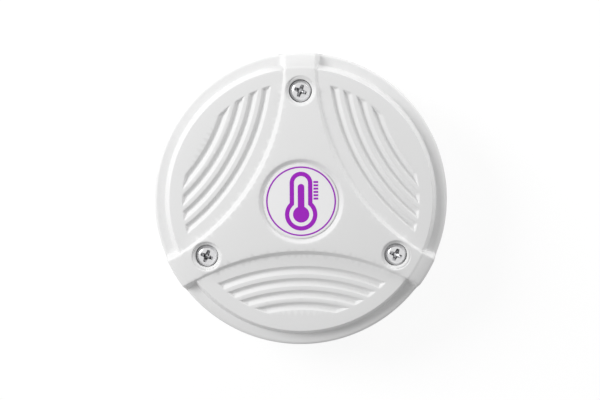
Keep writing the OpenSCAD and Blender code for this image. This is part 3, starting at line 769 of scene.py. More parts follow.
def floor_material():
    """Pale floor that looks white and still takes the object's shadow."""
    material, tree, shader = node_material("floor_white")
    shader.inputs["Base Color"].default_value = (0.9, 0.9, 0.9, 1)
    shader.inputs["Roughness"].default_value = 0.8
    glow = tree.nodes.new("ShaderNodeEmission")
    glow.inputs["Strength"].default_value = 1.06
    rays = tree.nodes.new("ShaderNodeLightPath")
    share = tree.nodes.new("ShaderNodeMath")
    share.operation = "MULTIPLY"
    share.inputs[1].default_value = 0.82
    tree.links.new(rays.outputs["Is Camera Ray"], share.inputs[0])
    mix_shaders(tree, share.outputs["Value"], shader.outputs["BSDF"], glow.outputs["Emission"], "Material Output")
    return material


# The moulded face of the cover

def smooth_max(a, b, width):
    """Larger of two heights, blended where they differ by less than the width."""
    overlap = np.maximum(width - np.abs(a - b), 0) / width
    return np.maximum(a, b) + overlap * overlap * width / 4


def smooth_min(a, b, width):
    """Smaller of two heights, blended where they differ by less than the width."""
    return -smooth_max(-a, -b, width)


def opening_angle(side_a, side_b, opposite):
    """Angle between two sides of a triangle, from the length of the side opposite."""
    cosine = (side_a ** 2 + side_b ** 2 - opposite ** 2) / (2 * side_a * side_b)
    return math.acos(max(-1.0, min(1.0, cosine)))


def arc_row(centre, radius, start, end, count):
    """Points of an arc, evenly spaced from one angle to another."""
    angles = np.linspace(start, end, count)
    return np.column_stack((centre[0] + radius * np.cos(angles), centre[1] + radius * np.sin(angles)))


class Face:
    """Relief of the cover's face over one sixth of it, from a panel's middle line to an arm's.

    The sixth has the panel's middle along +X and the arm's middle 60 degrees from it. All lengths are in
    millimetres.
    """

    # Rise over run of the walls and of the grooves' ends
    wall_slope = 1.6
    groove_end_slope = 1.7
    # Run over rise of the hub's sides at the panels' corners and at the arms' ends
    corner_run = 0.16
    end_run = 0.6
    # How far before the corners the sides steepen, and the run of the crease's step
    corner_reach = 0.8
    crease_run = 0.3
    groove_count = 4
    counterbore_r = 3.65
    # Gap round the label, and run over rise of the drafted skirt
    label_gap = 0.15
    skirt_taper = math.tan(math.radians(1.0))

    def __init__(self, cover, label):
        self.cover = cover
        cover_low, cover_high = node_box("cover")
        label_low, label_high = node_box("front_label")
        washer_low, washer_high = node_box("screw_washer_top")
        self.foot_z = cover_low.z
        self.foot_r = cover_high.x
        self.crown_z = label_low.z - SEAT_GAP + label.recess_depth
        self.label_floor_z = label_low.z - SEAT_GAP
        self.label_floor_r = (label_high.x - label_low.x) / 2 + self.label_gap
        self.label_lip_r = self.label_floor_r + label.recess_run
        self.screw_r = (washer_low.y + washer_high.y) / 2
        self.seat_z = washer_low.z - SEAT_GAP
        self.screw_place = (self.screw_r * math.cos(HALF_SECTOR), self.screw_r * math.sin(HALF_SECTOR))
        self.panel_crown_z = self.crown_z - cover.hub_step
        self.panel_top_r = self.edge_r(self.panel_crown_z) - cover.rim_w - cover.panel_wall_run
        self.corner_start_r = self.panel_top_r - self.corner_reach
        self.rim_z = self.panel_z(self.panel_top_r) - cover.panel_step
        self.panel_foot_r = self.panel_top_r + cover.panel_wall_run
        self.face_r = self.edge_r(self.rim_z - cover.edge_round)
        self.crease_r = self.face_r - cover.arm_end_run
        self.side_r = (cover.hub_waist_r * math.cos(HALF_SECTOR / 2) - cover.arm_w / 2) / (
            1 - math.cos(HALF_SECTOR / 2)
        )
        self.side_centre = cover.hub_waist_r + self.side_r
        self.side_z = self.panel_z(cover.hub_waist_r) + cover.hub_step / 2
        self.ledge_z = self.crown_z - self.dome_drop(self.screw_r) - cover.counterbore_ledge
        self.groove_end_r = self.panel_top_r - cover.groove_end_margin
        self.groove_radii = [
            self.side_r - cover.groove_start - i * cover.groove_pitch for i in range(self.groove_count)
        ]

    def dome_drop(self, r):
        """Height that the dome loses from the centre to a radius."""
        return r * r / (2 * self.cover.dome_r)

    def panel_z(self, r):
        """Height of the louvre panels' flatter dome at a radius."""
        return self.panel_crown_z - r * r / (2 * self.cover.panel_dome_r)

    def from_screw(self, x, y):
        """Distance of points from the middle of the arm's screw."""
        return np.hypot(x - self.screw_place[0], y - self.screw_place[1])

    def edge_r(self, z):
        """Radius of the drafted skirt at a height."""
        return self.foot_r - (z - self.foot_z) * self.skirt_taper

    def groove_cut(self, r, side):
        """Depth of the grooves at a radius and a distance from the centre of the hub's side arc."""
        cover = self.cover
        slope = cover.groove_depth / ((cover.groove_w - cover.groove_floor_w) / 2)
        end = (self.groove_end_r - r) * self.groove_end_slope
        cut = np.zeros_like(r)
        for radius in self.groove_radii:
            flank = (cover.groove_w / 2 - np.abs(side - radius)) * slope
            shaped = smooth_min(smooth_min(cover.groove_depth, flank, cover.groove_blend), end, cover.groove_blend)
            cut = np.maximum(cut, smooth_max(shaped, 0, cover.groove_blend))
        return cut

    def side_slope(self, r):
        """Steepness of the hub's side walls: steep where they pass the panels' corners, then fanned out."""
        places = (self.corner_start_r, self.panel_top_r, self.face_r)
        return 1 / np.interp(r, places, (1 / self.wall_slope, self.corner_run, self.end_run))

    def side_shift(self, r):
        """How far the top edge of the hub's side walls lies inside the side arc."""
        return (self.side_z - self.hub_line(np.minimum(r, self.corner_start_r))) / self.wall_slope

    def hub_line(self, r):
        """Height of the hub along its dome and the slope at the arms' ends, without the crease's step."""
        share = np.clip((r - self.crease_r) / (self.face_r - self.crease_r), 0, 1)
        top = self.crown_z - self.dome_drop(np.minimum(r, self.crease_r))
        return top - self.cover.arm_end_drop * share * (1 + share) / 2

    def hub_top(self, r):
        """Height of the hub along its dome, the label's recess and the slope at the arms' ends."""
        step = np.clip((r - self.crease_r) / self.crease_run, 0, 1)
        top = self.hub_line(r) - self.cover.crease_step * step
        swing = np.clip((r - self.label_floor_r) / (self.label_lip_r - self.label_floor_r), 0, 1)
        lip_z = self.crown_z - self.dome_drop(self.label_lip_r)
        recess = self.label_floor_z + (lip_z - self.label_floor_z) * (1 - np.cos(math.pi * swing)) / 2
        return np.where(r < self.label_lip_r, recess, top)

    def height(self, x, y):
        """Height of the face at points of the sixth."""
        cover = self.cover
        blend = cover.moulded_blend
        r = np.hypot(x, y)
        side = np.hypot(x - self.side_centre, y)
        from_screw = self.from_screw(x, y)
        panel_wall = self.rim_z + (self.panel_foot_r - r) * cover.panel_step / cover.panel_wall_run
        low = smooth_max(self.rim_z, smooth_min(self.panel_z(r), panel_wall, blend), blend)
        low = low - self.groove_cut(r, side)
        side_wall = self.hub_line(r) + (side - self.side_r + self.side_shift(r)) * self.side_slope(r)
        pad_wall = self.side_z + (cover.screw_pad_d / 2 - from_screw) * self.wall_slope
        hub = smooth_min(self.hub_top(r), smooth_max(side_wall, pad_wall, blend), blend)
        z = smooth_max(low, hub, blend)
        z = z - round_off(r - (self.face_r - cover.edge_round), cover.edge_round)
        mouth = self.counterbore_r + cover.counterbore_lip
        return z - round_off(mouth - from_screw, cover.counterbore_lip)

    def rows(self):
        """Lines of points that follow the edges and fillets of the relief."""
        cover = self.cover
        rows = []
        quarter = np.radians(np.linspace(0, 90, 7))
        blend = cover.moulded_blend

        label_radii = np.linspace(self.label_floor_r, self.label_lip_r, 9)
        edge_radii = self.face_r - cover.edge_round * (1 - np.sin(quarter))
        for radius in (4.6, *label_radii, *edge_radii):
            rows.append(arc_row((0, 0), radius, 0, HALF_SECTOR, 49 if radius > 12 else 25))

        fillet = blend / (cover.panel_step / cover.panel_wall_run)
        for middle in (self.panel_top_r, self.panel_foot_r):
            for offset in np.linspace(-fillet, fillet, 5):
                radius = middle + offset
                end = opening_angle(self.side_centre, radius, self.side_r + 0.3)
                rows.append(arc_row((0, 0), radius, 0, end, 41))
        for offset in (-0.3, 0, 0.3, 0.6, 1.8):
            radius = self.crease_r + offset
            start = opening_angle(self.side_centre, radius, self.side_r + 0.8)
            rows.append(arc_row((0, 0), radius, start, HALF_SECTOR, 9))

        for share in np.linspace(-1, 1, 5):
            rows.append(self.side_row(self.hub_line, share * blend / 2, 0.0, 57))
            rows.append(self.side_row(self.panel_z, share * blend / 2, 0.0, 57))
            rows.append(self.side_row(lambda r: self.rim_z, share * blend / 2, self.panel_top_r - 0.2, 15))

        half_w = cover.groove_w / 2
        lip = 0.27
        inner = cover.groove_floor_w / 2
        profile = [0, inner - 0.05, inner + 0.2, half_w - lip, half_w - lip / 2, half_w, half_w + lip / 2]
        profile = [side * value for value in profile for side in (-1, 1)][1:]
        for middle in self.groove_radii:
            for offset in profile:
                radius = middle + offset
                end = opening_angle(self.side_centre, radius, self.groove_end_r + 0.3)
                rows.append(arc_row((self.side_centre, 0), radius, math.pi, math.pi - end, 23))
            for inset in (-0.2, -0.06, 0.06, 0.2, 0.32, 0.45, 0.7):
                radius = self.groove_end_r - inset
                start = opening_angle(self.side_centre, radius, middle - half_w - lip)
                end = opening_angle(self.side_centre, radius, middle + half_w + lip)
                rows.append(arc_row((0, 0), radius, start, end, 9))

        lip_radii = self.counterbore_r + cover.counterbore_lip * (1 - np.sin(quarter))
        for radius in (*lip_radii, cover.screw_pad_d / 2):
            rows.append(arc_row(self.screw_place, radius, HALF_SECTOR, HALF_SECTOR - math.pi, 33))
        return rows

    def side_row(self, level, rise, start_r, count):
        """Line where the hub's side wall meets a level, moved a little way up or down the wall."""
        outer = opening_angle(self.side_centre, self.side_r, self.face_r)
        inner = opening_angle(self.side_centre, self.side_r, start_r) if start_r else 0.0
        angles = np.linspace(inner, outer, count)
        radius = np.full(count, self.side_r)
        for _ in range(6):
            r = np.hypot(self.side_centre - radius * np.cos(angles), radius * np.sin(angles))
            climb = (level(r) + rise - self.hub_line(r)) / self.side_slope(r)
            radius = self.side_r - self.side_shift(r) + climb
        return np.column_stack((self.side_centre - radius * np.cos(angles), radius * np.sin(angles)))

    def sixth(self):
        """Points and triangles of the sixth, with the counterbore left open."""
        rows = [row[self.inside(row)] for row in self.rows()]
        rows = [row for row in rows if len(row) > 1]
        lined = np.vstack(rows)
        spacing, clearance = 1.5, 0.55
        loose = [
            (radius * math.cos(a), radius * math.sin(a))
            for radius in np.arange(spacing, self.face_r - 1, spacing)
            for a in np.linspace(0, HALF_SECTOR, max(3, int(radius / spacing) + 1))
        ]
        loose = [p for p in loose if np.min(np.hypot(*(lined - p).T)) > clearance]
        points = [(0.0, 0.0)]
        points += [tuple(p) for row in rows for p in row]
        points += loose
        lines = []
        start = 1
        for row in rows:
            lines += [(start + i, start + i + 1) for i in range(len(row) - 1)]
            start += len(row)
        points = [self.snapped(p) for p in points]
        found, _, faces, *_ = delaunay_2d_cdt([Vector(p) for p in points], lines, [], 0, 1e-5)
        corners = np.array([self.snapped(p) for p in found])
        triangles = np.array(faces)
        centres = corners[triangles].mean(axis=1)
        from_screw = self.from_screw(*centres.T)
        on_middle = corners[:, 1] == 0
        on_arm = np.isclose(corners[:, 1] * math.cos(HALF_SECTOR), corners[:, 0] * math.sin(HALF_SECTOR), atol=1e-9)
        flat = on_middle[triangles].all(axis=1) | on_arm[triangles].all(axis=1)
        return corners, triangles[(from_screw > self.counterbore_r * 0.999) & ~flat]

    def inside(self, points):
        """Which points lie in the sixth and outside the counterbore."""
        r = np.hypot(points[:, 0], points[:, 1])
        angle = np.arctan2(points[:, 1], points[:, 0])
        bore = self.from_screw(*points.T)
        slack = 1e-6
        return (
            (r < self.face_r + slack) & (angle > -slack) & (angle < HALF_SECTOR + slack)
            & (bore > self.counterbore_r - slack)
        )

    def snapped(self, point):
        """The point, moved exactly onto the sixth's straight sides where it lies close to one."""
        close = 1e-4
        x, y = float(point[0]), float(point[1])
        if abs(y) < close:
            return (x, 0.0)
        along = x * math.cos(HALF_SECTOR) + y * math.sin(HALF_SECTOR)
        if abs(x * math.sin(HALF_SECTOR) - y * math.cos(HALF_SECTOR)) < close:
            return (along * math.cos(HALF_SECTOR), along * math.sin(HALF_SECTOR))
        return (x, y)


def round_off(reach, radius):
    """Drop of a quarter round of this radius, at a distance past its start."""
    reach = np.clip(reach, 0, radius)
    return radius - np.sqrt(np.maximum(radius * radius - reach * reach, 0))


def moulded_shell(face):
    """Closed outer body of the cover: the face, its counterbores and the skirt down to the foot."""
    corners, triangles = face.sixth()
    heights = face.height(corners[:, 0], corners[:, 1])
    bm = bmesh.new()
    for panel_angle in PANEL_ANGLES:
        turn = Matrix.Rotation(math.radians(panel_angle), 3, "Z")
        for mirrored in (1, -1):
            verts = [
                bm.verts.new(turn @ Vector((p[0], mirrored * p[1], z))) for p, z in zip(corners, heights)
            ]
            for triangle in triangles:
                order = triangle if mirrored > 0 else triangle[::-1]
                bm.faces.new([verts[i] for i in order])
    bmesh.ops.remove_doubles(bm, verts=bm.verts, dist=1e-3)
    close_counterbores(bm, face)
    close_skirt(bm, face)
    bmesh.ops.recalc_face_normals(bm, faces=bm.faces)
    return bm


def open_edges(bm, wanted):
    """Open edges whose both ends meet the test."""
    return [e for e in bm.edges if e.is_boundary and all(wanted(v.co) for v in e.verts)]


def extrude_to(bm, edges, place):
    """Extrudes a ring of edges and puts each new corner where the function says."""
    made = bmesh.ops.extrude_edge_only(bm, edges=edges)["geom"]
    for vert in (g for g in made if isinstance(g, bmesh.types.BMVert)):
        vert.co = place(vert.co)
    return [g for g in made if isinstance(g, bmesh.types.BMEdge) and g.is_boundary]


def arm_place(face, name):
    """Middle of the cover screw on a named arm."""
    angle = math.radians(ARMS[name])
    return face.screw_r * math.cos(angle), face.screw_r * math.sin(angle)


def close_counterbores(bm, face):
    """Adds the walls, seats and clearance holes of the three cover screws, closed below."""
    clear_r = 1.7
    chamfer = 0.1
    hole_end_z = node_box("cover_screw_top")[0].z + 5
    for name in ARMS:
        middle = Vector((*arm_place(face, name), 0))

        def ring(radius, z):
            def place(co):
                out = Vector((co.x - middle.x, co.y - middle.y, 0)).normalized() * radius
                return Vector((middle.x + out.x, middle.y + out.y, z))
            return place

        def near(co):
            return math.hypot(co.x - middle.x, co.y - middle.y) < face.counterbore_r + 0.5

        edges = open_edges(bm, near)
        for radius, z in (
            (face.counterbore_r, face.seat_z), (clear_r + chamfer, face.seat_z), (clear_r, face.seat_z - chamfer),
            (clear_r, hole_end_z),
        ):
            edges = extrude_to(bm, edges, ring(radius, z))
        bmesh.ops.edgeloop_fill(bm, edges=edges)


def close_skirt(bm, face):
    """Adds the drafted skirt with its rounded foot, closed below."""
    rounding = face.cover.foot_round
    levels = [(face.rim_z - 1.5, 0), (face.foot_z + 9, 0), (face.foot_z + rounding, 0)]
    for i in range(1, 5):
        a = math.radians(90 * i / 4)
        levels.append((face.foot_z + rounding * (1 - math.sin(a)), rounding * (1 - math.cos(a))))
    edges = open_edges(bm, lambda co: math.hypot(co.x, co.y) > face.face_r - 0.1)
    for z, inset in levels:
        radius = face.edge_r(z) - inset

        def place(co, radius=radius, z=z):
            out = Vector((co.x, co.y, 0)).normalized() * radius
            return Vector((out.x, out.y, z))

        edges = extrude_to(bm, edges, place)
    bmesh.ops.edgeloop_fill(bm, edges=edges)


def cover_room(face):
    """The room inside the cover, as the CAD cover has it, with its walls, bosses and ribs left out.

    A plug under each counterbore keeps the room apart from it.
    """
    skirt_mid_r = face.foot_r - face.cover.skirt_wall / 2 - 0.3
    plug_r = face.counterbore_r + 0.35
    plug_half_t = 0.3
    filled = copy_of_node("cover", "filled_cover")
    plugs = [
        cylinder_between("plug", plug_r, face.seat_z - plug_half_t, face.seat_z + plug_half_t, *arm_place(face, name))
        for name in ARMS
    ]
    boolean(filled, plugs, "UNION")
    room = cylinder_between("room", skirt_mid_r, face.foot_z - 1, face.crown_z + 1)
    boolean(room, [filled])
    lowest_part(room)
    return room


def sloped_ring(face, name):
    """Ring in an arm's counterbore that slopes down to the screw's head and stands on the seat."""
    low, high = node_box("cover_screw_" + name)
    inner_r = (high.x - low.x) / 2 + face.cover.ledge_gap
    outer_r = face.counterbore_r + 0.2
    foot_z = face.seat_z - 0.15
    bm = turned([
        (inner_r, foot_z), (outer_r, foot_z), (outer_r, face.ledge_z + 0.2),
        (face.counterbore_r, face.ledge_z + face.cover.ledge_rise), (inner_r + 0.1, face.ledge_z + 0.06),
        (inner_r + 0.03, face.ledge_z), (inner_r, face.ledge_z - 0.1)
    ], 96)
    return object_from_bmesh("sloped_ring", moved(bm, *arm_place(face, name)))


# Pieces

def build_cover(scene):
    """Front cover: the moulded relief over a hollow shell."""
    cover = in_mm(scene.sensor_cover)
    face = Face(cover, in_mm(scene.sensor_label))
    obj = object_from_bmesh("front_cover", moulded_shell(face))
    boolean(obj, [cover_room(face)])
    boolean(obj, [sloped_ring(face, name) for name in ARMS], "UNION")
    white = moulded_plastic("cover_plastic", scene.sensor_finishes.cover_white)
    finish_piece(obj, white, "cover", degrees=50)


def thermometer_outline(half_w, top_y, bulb_y, bulb_r, flare):
    """Outline of a round-topped tube that opens by short flanks into a bulb."""
    join = math.degrees(math.asin(min(1.0, (half_w + flare) / bulb_r)))
    neck_y = bulb_y + bulb_r * math.cos(math.radians(join)) + flare
    points = arc_points(0, bulb_y, bulb_r, 90 + join, 450 - join, 49)
    points += [(half_w, neck_y)] if flare else []
    points += arc_points(0, top_y - half_w, half_w, 0, 180, 25)
    points += [(-half_w, neck_y)] if flare else []
    return points


def label_print(label, mark_count, low_z):
    """Raised print of the label: ring, thermometer, filled column and scale marks."""
    high_z = low_z + label.print_t
    parts = []

    def add(outline, holes=()):
        parts.append(flat_solid(outline, holes, low_z, high_z))

    half = label.ring_w / 2
    add(
        arc_points(0, 0, label.ring_r + half, 0, 360, 129)[:-1],
        [arc_points(0, 0, label.ring_r - half, 0, 360, 129)[:-1]],
    )
    bulb_y = -label.bulb_drop
    inner_w = label.tube_w / 2 - label.line_w
    add(
        thermometer_outline(label.tube_w / 2, label.tube_top, bulb_y, label.bulb_d / 2, 0.02),
        [thermometer_outline(inner_w, label.tube_top - label.line_w, bulb_y, label.bulb_d / 2 - label.line_w, 0.25)],
    )
    add(thermometer_outline(label.column_w / 2, label.column_top, bulb_y, label.column_bulb_d / 2, 0.12))
    for i in range(mark_count):
        x = label.tube_w / 2 + label.mark_gap
        y = label.mark_top - i * label.mark_pitch
        half = label.mark_t / 2
        add([(x, y - half), (x + label.mark_w, y - half), (x + label.mark_w, y + half), (x, y + half)])
    return gather(parts)


def build_label(scene):
    """Label disc in its recess, with its print."""
    label = in_mm(scene.sensor_label)
    finishes = scene.sensor_finishes
    low, high = node_box("front_label")
    radius = high.x
    edge = 0.06
    profile = [(0, low.z), (radius, low.z)]
    profile += rounded_corner(radius - edge, high.z - edge, edge, 0, 4)
    profile += [(0, high.z)]
    disc = object_from_bmesh("front_label_disc", turned(profile, 160))
    finish_piece(disc, label_film("label_film", finishes.label_white), "front_label", degrees=40)
    ink = object_from_bmesh("front_label_print", label_print(label, scene.sensor_label.mark_count, high.z))
    finish_piece(ink, printed_ink("label_ink", finishes.print_purple), "front_label", False, 40)


def pan_head(screw, head_z, radius):
    """Pan head with a cross recess, about the origin's axis."""
    top_z = head_z + screw.head_h
    foot_round = 0.12
    side_h = 0.95
    # Inset from the side and drop from the top of the points of the shoulder
    shoulder = ((0.07, 1.1), (0.52, 0.5), (0.6, 0.4), (0.7, 0.33), (0.82, 0.28), (0.97, 0.235))
    profile = [
        (0, head_z), (radius - foot_round, head_z), (radius, head_z + foot_round), (radius, head_z + side_h)
    ]
    profile += [(radius - inset, top_z - drop) for inset, drop in shoulder]
    last_r, last_z = profile[-1]
    profile += [(last_r * t, top_z - (top_z - last_z) * t * t) for t in (0.82, 0.62, 0.42, 0.2, 0.0)]
    head = object_from_bmesh("head", turned(profile, 96))
    return boolean(head, [cross_punch(screw, top_z)])


def cross_punch(screw, top_z):
    """Punch of the cross recess: four tapered wings round a pointed core."""
    bm = bmesh.new()
    levels = []
    # Shares of the recess's depth, of the wings' reach and of their width, from the top down
    for share, reach, half in ((-0.15, 1.1, 1.1), (0.0, 1.0, 1.0), (0.8, 0.5, 0.72), (1.0, 0.2, 0.3)):
        z = top_z - screw.recess_depth * share
        reach_mm = screw.recess_r * reach
        half_mm = screw.wing_w / 2 * half
        core = half_mm * 1.45
        if core > reach_mm:
            core = reach_mm * 0.8
        ring = []
        for quarter in range(4):
            turn = math.radians(90 * quarter)
            for x, y in ((reach_mm, -half_mm), (reach_mm, half_mm), (core, core)):
                ring.append(bm.verts.new((
                    x * math.cos(turn) - y * math.sin(turn), x * math.sin(turn) + y * math.cos(turn), z
                )))
        levels.append(ring)
    for upper, lower in zip(levels, levels[1:]):
        for i in range(12):
            j = (i + 1) % 12
            bm.faces.new((upper[i], upper[j], lower[j], lower[i]))
    bm.faces.new(levels[0])
    bm.faces.new(levels[-1][::-1])
    bmesh.ops.recalc_face_normals(bm, faces=bm.faces)
    return object_from_bmesh("punch", bm)


def threaded_shank(screw, tip_z, top_z, radius):
    """Shank with a true helical thread, pointed by a chamfer, closed at both ends."""
    bm = bmesh.new()
    columns = 24
    tip_inset, tip_slope = 0.1, 0.9
    # Shares of the pitch and of the thread's depth at the edges of its crest and its root
    shape = ((0.0, 1.0), (0.12, 1.0), (0.5, 0.0), (0.62, 0.0))
    root_r = radius - screw.thread_depth
    turns = int((top_z - tip_z) / screw.thread_pitch) + 2
    grid = []
    for k in range(-1, turns):
        for share, crest in shape:
            row = []
            for c in range(columns + 1):
                z = tip_z + (k + share + c / columns) * screw.thread_pitch
                r = root_r + screw.thread_depth * crest
                z = min(max(z, tip_z), top_z)
                r = min(r, root_r - tip_inset + (z - tip_z) * tip_slope)
                a = 2 * math.pi * c / columns
                row.append(bm.verts.new((r * math.cos(a), r * math.sin(a), z)))
            grid.append(row)
    for lower, upper in zip(grid, grid[1:]):
        for c in range(columns):
            bm.faces.new((lower[c], lower[c + 1], upper[c + 1], upper[c]))
    bmesh.ops.remove_doubles(bm, verts=bm.verts, dist=1e-4)
    bmesh.ops.dissolve_degenerate(bm, edges=bm.edges, dist=1e-4)
    bmesh.ops.holes_fill(bm, edges=[e for e in bm.edges if e.is_boundary])
    bmesh.ops.recalc_face_normals(bm, faces=bm.faces)
    return bm


def join_shank(head, bm):
    """Adds a shank to a screw's head; its upper end lies hidden in the head."""
    bmesh.ops.scale(bm, vec=(MM, MM, MM), verts=bm.verts)
    bm.from_mesh(head.data)
    bm.to_mesh(head.data)
    bm.free()


def shade_recess(obj, material, middle, head_z, screw):
    """Gives the faces of the cross recess a darker metal: painted shade where the recess lies in its own shadow."""
    obj.data.materials.append(material)
    skin, crown_fall, floor_h = 0.1, 0.1, 0.4
    for face in obj.data.polygons:
        place = face.center / MM
        reach = math.hypot(place.x - middle.x, place.y - middle.y)
        deep_enough = place.z < head_z + screw.head_h - skin - crown_fall * reach * reach
        if reach < screw.recess_r * 1.05 and deep_enough and place.z > head_z + floor_h:
            face.material_index = 1


def build_washer(arm, middle, material):
    """Washer under the head of the cover screw on an arm."""
    node = "screw_washer_" + arm
    low, high = node_box(node)
    outer = (high.x - low.x) / 2
    inner = 1.6
    edge = 0.12
    profile = rounded_corner(outer - edge, high.z - edge, edge, 0, 3)
    profile += rounded_corner(inner + edge, high.z - edge, edge, 90, 3)
    profile += [(inner, low.z + edge), (inner + edge, low.z), (outer - edge, low.z), (outer, low.z + edge)]
    ring = object_from_bmesh("sealing_washer_" + arm, moved(turned(profile, 64), middle.x, middle.y))
    finish_piece(ring, material, node, degrees=40)


def build_screws(scene):
    """Three cover screws with a cross recess, and their washers."""
    screw = in_mm(scene.sensor_screws)
    metal = polished_metal("screw_metal", scene.sensor_finishes.screw_metal)
    # Darker metal for the recess faces: painted shade, mottled with painted glints
    recess_shade = metal_with_painted_shade("recess_painted_shade", scene.sensor_finishes.recess_painted_shade)
    black = rubber("washer_rubber", scene.sensor_finishes.washer_black)
    for arm in ARMS:
        node = "cover_screw_" + arm
        low, high = node_box(node)
        middle = (low + high) / 2
        radius = (high.x - low.x) / 2
        head_z = high.z - screw.head_h
        obj = pan_head(screw, head_z, radius)
        # A shank 3 mm thick belongs to a head 5.5 mm wide
        shank_r = radius * 3 / 5.5
        join_shank(obj, threaded_shank(screw, low.z, head_z + HIDDEN_END, shank_r))
        turn = Matrix.Rotation(-scene.sensor_screws.cross_turn, 4, "Z")
        obj.data.transform(Matrix.Translation((middle.x * MM, middle.y * MM, 0)) @ turn)
        obj.name = "pan_screw_" + arm
        finish_piece(obj, metal, node, degrees=28)
        shade_recess(obj, recess_shade, middle, head_z, screw)
        build_washer(arm, middle, black)


def build_base(scene):
    """Base, seal and vent film in their finishes, and the knurled inserts of the bosses."""
    finishes = scene.sensor_finishes
    inner = in_mm(scene.sensor_inner)
    dress("base", moulded_plastic("base_plastic", finishes.base_white, 0.55), inner.soft_edge)
    dress("cover_seal", rubber("seal_rubber", finishes.seal_black))
    dress("vent_membrane", fibre_film("membrane_film", finishes.film_white))
    parts = []
    bore_r = 1.55
    for low, high in islands("threaded_inserts"):
        middle = (low + high) / 2
        outer_r = (high.x - low.x) / 2
        third = (high.z - low.z) / 3
        knurl = inner.knurl_depth
        insert = turned([
            (bore_r, low.z + 0.2), (bore_r + 0.2, low.z), (outer_r - 0.3, low.z), (outer_r - knurl, low.z + 0.3),
            (outer_r, low.z + 0.45, knurl), (outer_r, low.z + third - 0.1, knurl), (outer_r - 0.3, low.z + third),
            (outer_r - 0.3, low.z + 2 * third), (outer_r, low.z + 2 * third + 0.1, knurl),
            (outer_r, high.z - 0.5, knurl), (outer_r - knurl, high.z - 0.4), (outer_r - knurl, high.z - 0.1),
            (outer_r - knurl - 0.1, high.z), (bore_r + 0.25, high.z), (bore_r, high.z - 0.25)
        ], 2 * scene.sensor_inner.knurl_teeth)
        parts.append(moved(insert, middle.x, middle.y))
    inner_piece("knurled_inserts", parts, polished_metal("insert_brass", finishes.brass, 0.28), "threaded_inserts",
                degrees=25)


def small_screw(scene, head_r, head_h, shank_r, low_z, head_z):
    """Small pan-head screw with a cross recess and a threaded shank, about the origin's axis."""
    screw = in_mm(scene.sensor_screws)
    # The head is made at the size of a cover screw's and then shrunk
    full_r = head_r * 2.75 / 1.8
    obj = pan_head(screw, 0.0, full_r)
    shape = Matrix.Diagonal((head_r / full_r, head_r / full_r, head_h / screw.head_h, 1))
    obj.data.transform(Matrix.Translation((0, 0, head_z * MM)) @ shape)
    join_shank(obj, threaded_shank(screw, low_z, head_z + HIDDEN_END, shank_r))
    bm = bmesh.new()
    bm.from_mesh(obj.data)
    bmesh.ops.scale(bm, vec=(1 / MM, 1 / MM, 1 / MM), verts=bm.verts)
    data = obj.data
    bpy.data.objects.remove(obj)
    bpy.data.meshes.remove(data)
    return bm


def build_board(scene):
    """Circuit board with its tracks, rings and vias, and the screws that hold it."""
    finishes = scene.sensor_finishes
    inner = in_mm(scene.sensor_inner)
    high = node_box("circuit_board")[1]
    edge_arc_r = high.y - 0.7
    edge_arcs = ((36, 76), (104, 144), (166, 260), (280, 340))
    dress("circuit_board", solder_mask("board_laminate", finishes.mask_green))
    low_z, high_z = high.z - 0.02, high.z + inner.copper_t
    width = inner.track_w

    chip_low, chip_high = node_box("microcontroller")
    module_low = node_box("radio_module")[0]
    header_low, header_high = node_box("programming_header")
    tracks = []
    chip_pitch = 0.85
    for i in range(5):
        chip_y = chip_low.y + 0.8 + i * chip_pitch
        module_y = module_low.y + 1.5 + i * inner.pad_pitch
        knee = (chip_high.x + module_low.x) / 2
        tracks.append([(chip_high.x - 0.2, chip_y), (knee - 0.5, chip_y), (knee + 0.5, module_y),
                       (module_low.x + 0.2, module_y)])
        header_x = header_low.x + 0.6 + i * HEADER_PITCH
        chip_x = chip_low.x + 0.8 + i * chip_pitch
        tracks.append([(chip_x, chip_low.y + 0.2), (chip_x, chip_low.y - 1.2), (header_x, chip_low.y - 3.2),
                       (header_x, header_high.y - 0.2)])
    # Corners that fall together are dropped
    for path in tracks:
        path[:] = [p for i, p in enumerate(path) if i == 0 or math.dist(p, path[i - 1]) > 0.05]
    solids = [track(path, width, low_z, high_z) for path in tracks]
    for start, end in edge_arcs:
        solids.append(track(arc_points(0, 0, edge_arc_r, start, end, 25), 0.6, low_z, high_z))
    mask = solder_mask("board_tracks", tuple(min(1.0, c * 1.7) for c in finishes.mask_green))
    inner_piece("board_tracks", solids, mask, "circuit_board", False)

    tin = polished_metal("board_tin", finishes.tin, 0.3)
    rings = []
    for start, end in edge_arcs:
        for x, y in arc_points(0, 0, edge_arc_r, start + 3, end - 3, int((end - start) / 9)):
            rings.append(moved(ring_bm(0.13, 0.26, low_z, high_z + 0.01, 12), x, y))
    screws = []
    for box_low, box_high in islands("board_screws"):
        middle = (box_low + box_high) / 2
        head_r = (box_high.x - box_low.x) / 2
        rings.append(moved(ring_bm(1.25, head_r + 0.25, low_z, high_z - 0.01, 40), middle.x, middle.y))
        head_z = box_high.z - inner.post_head_h
        screw = small_screw(scene, head_r, inner.post_head_h, inner.post_screw_d / 2, box_low.z, head_z)
        screws.append(moved(screw, middle.x, middle.y, 0, math.radians(31 * len(screws))))
    inner_piece("board_rings", rings, tin, "circuit_board", False)
    inner_piece("post_screws", screws, polished_metal("board_screw_metal", finishes.steel, 0.25), "board_screws",
                degrees=28)


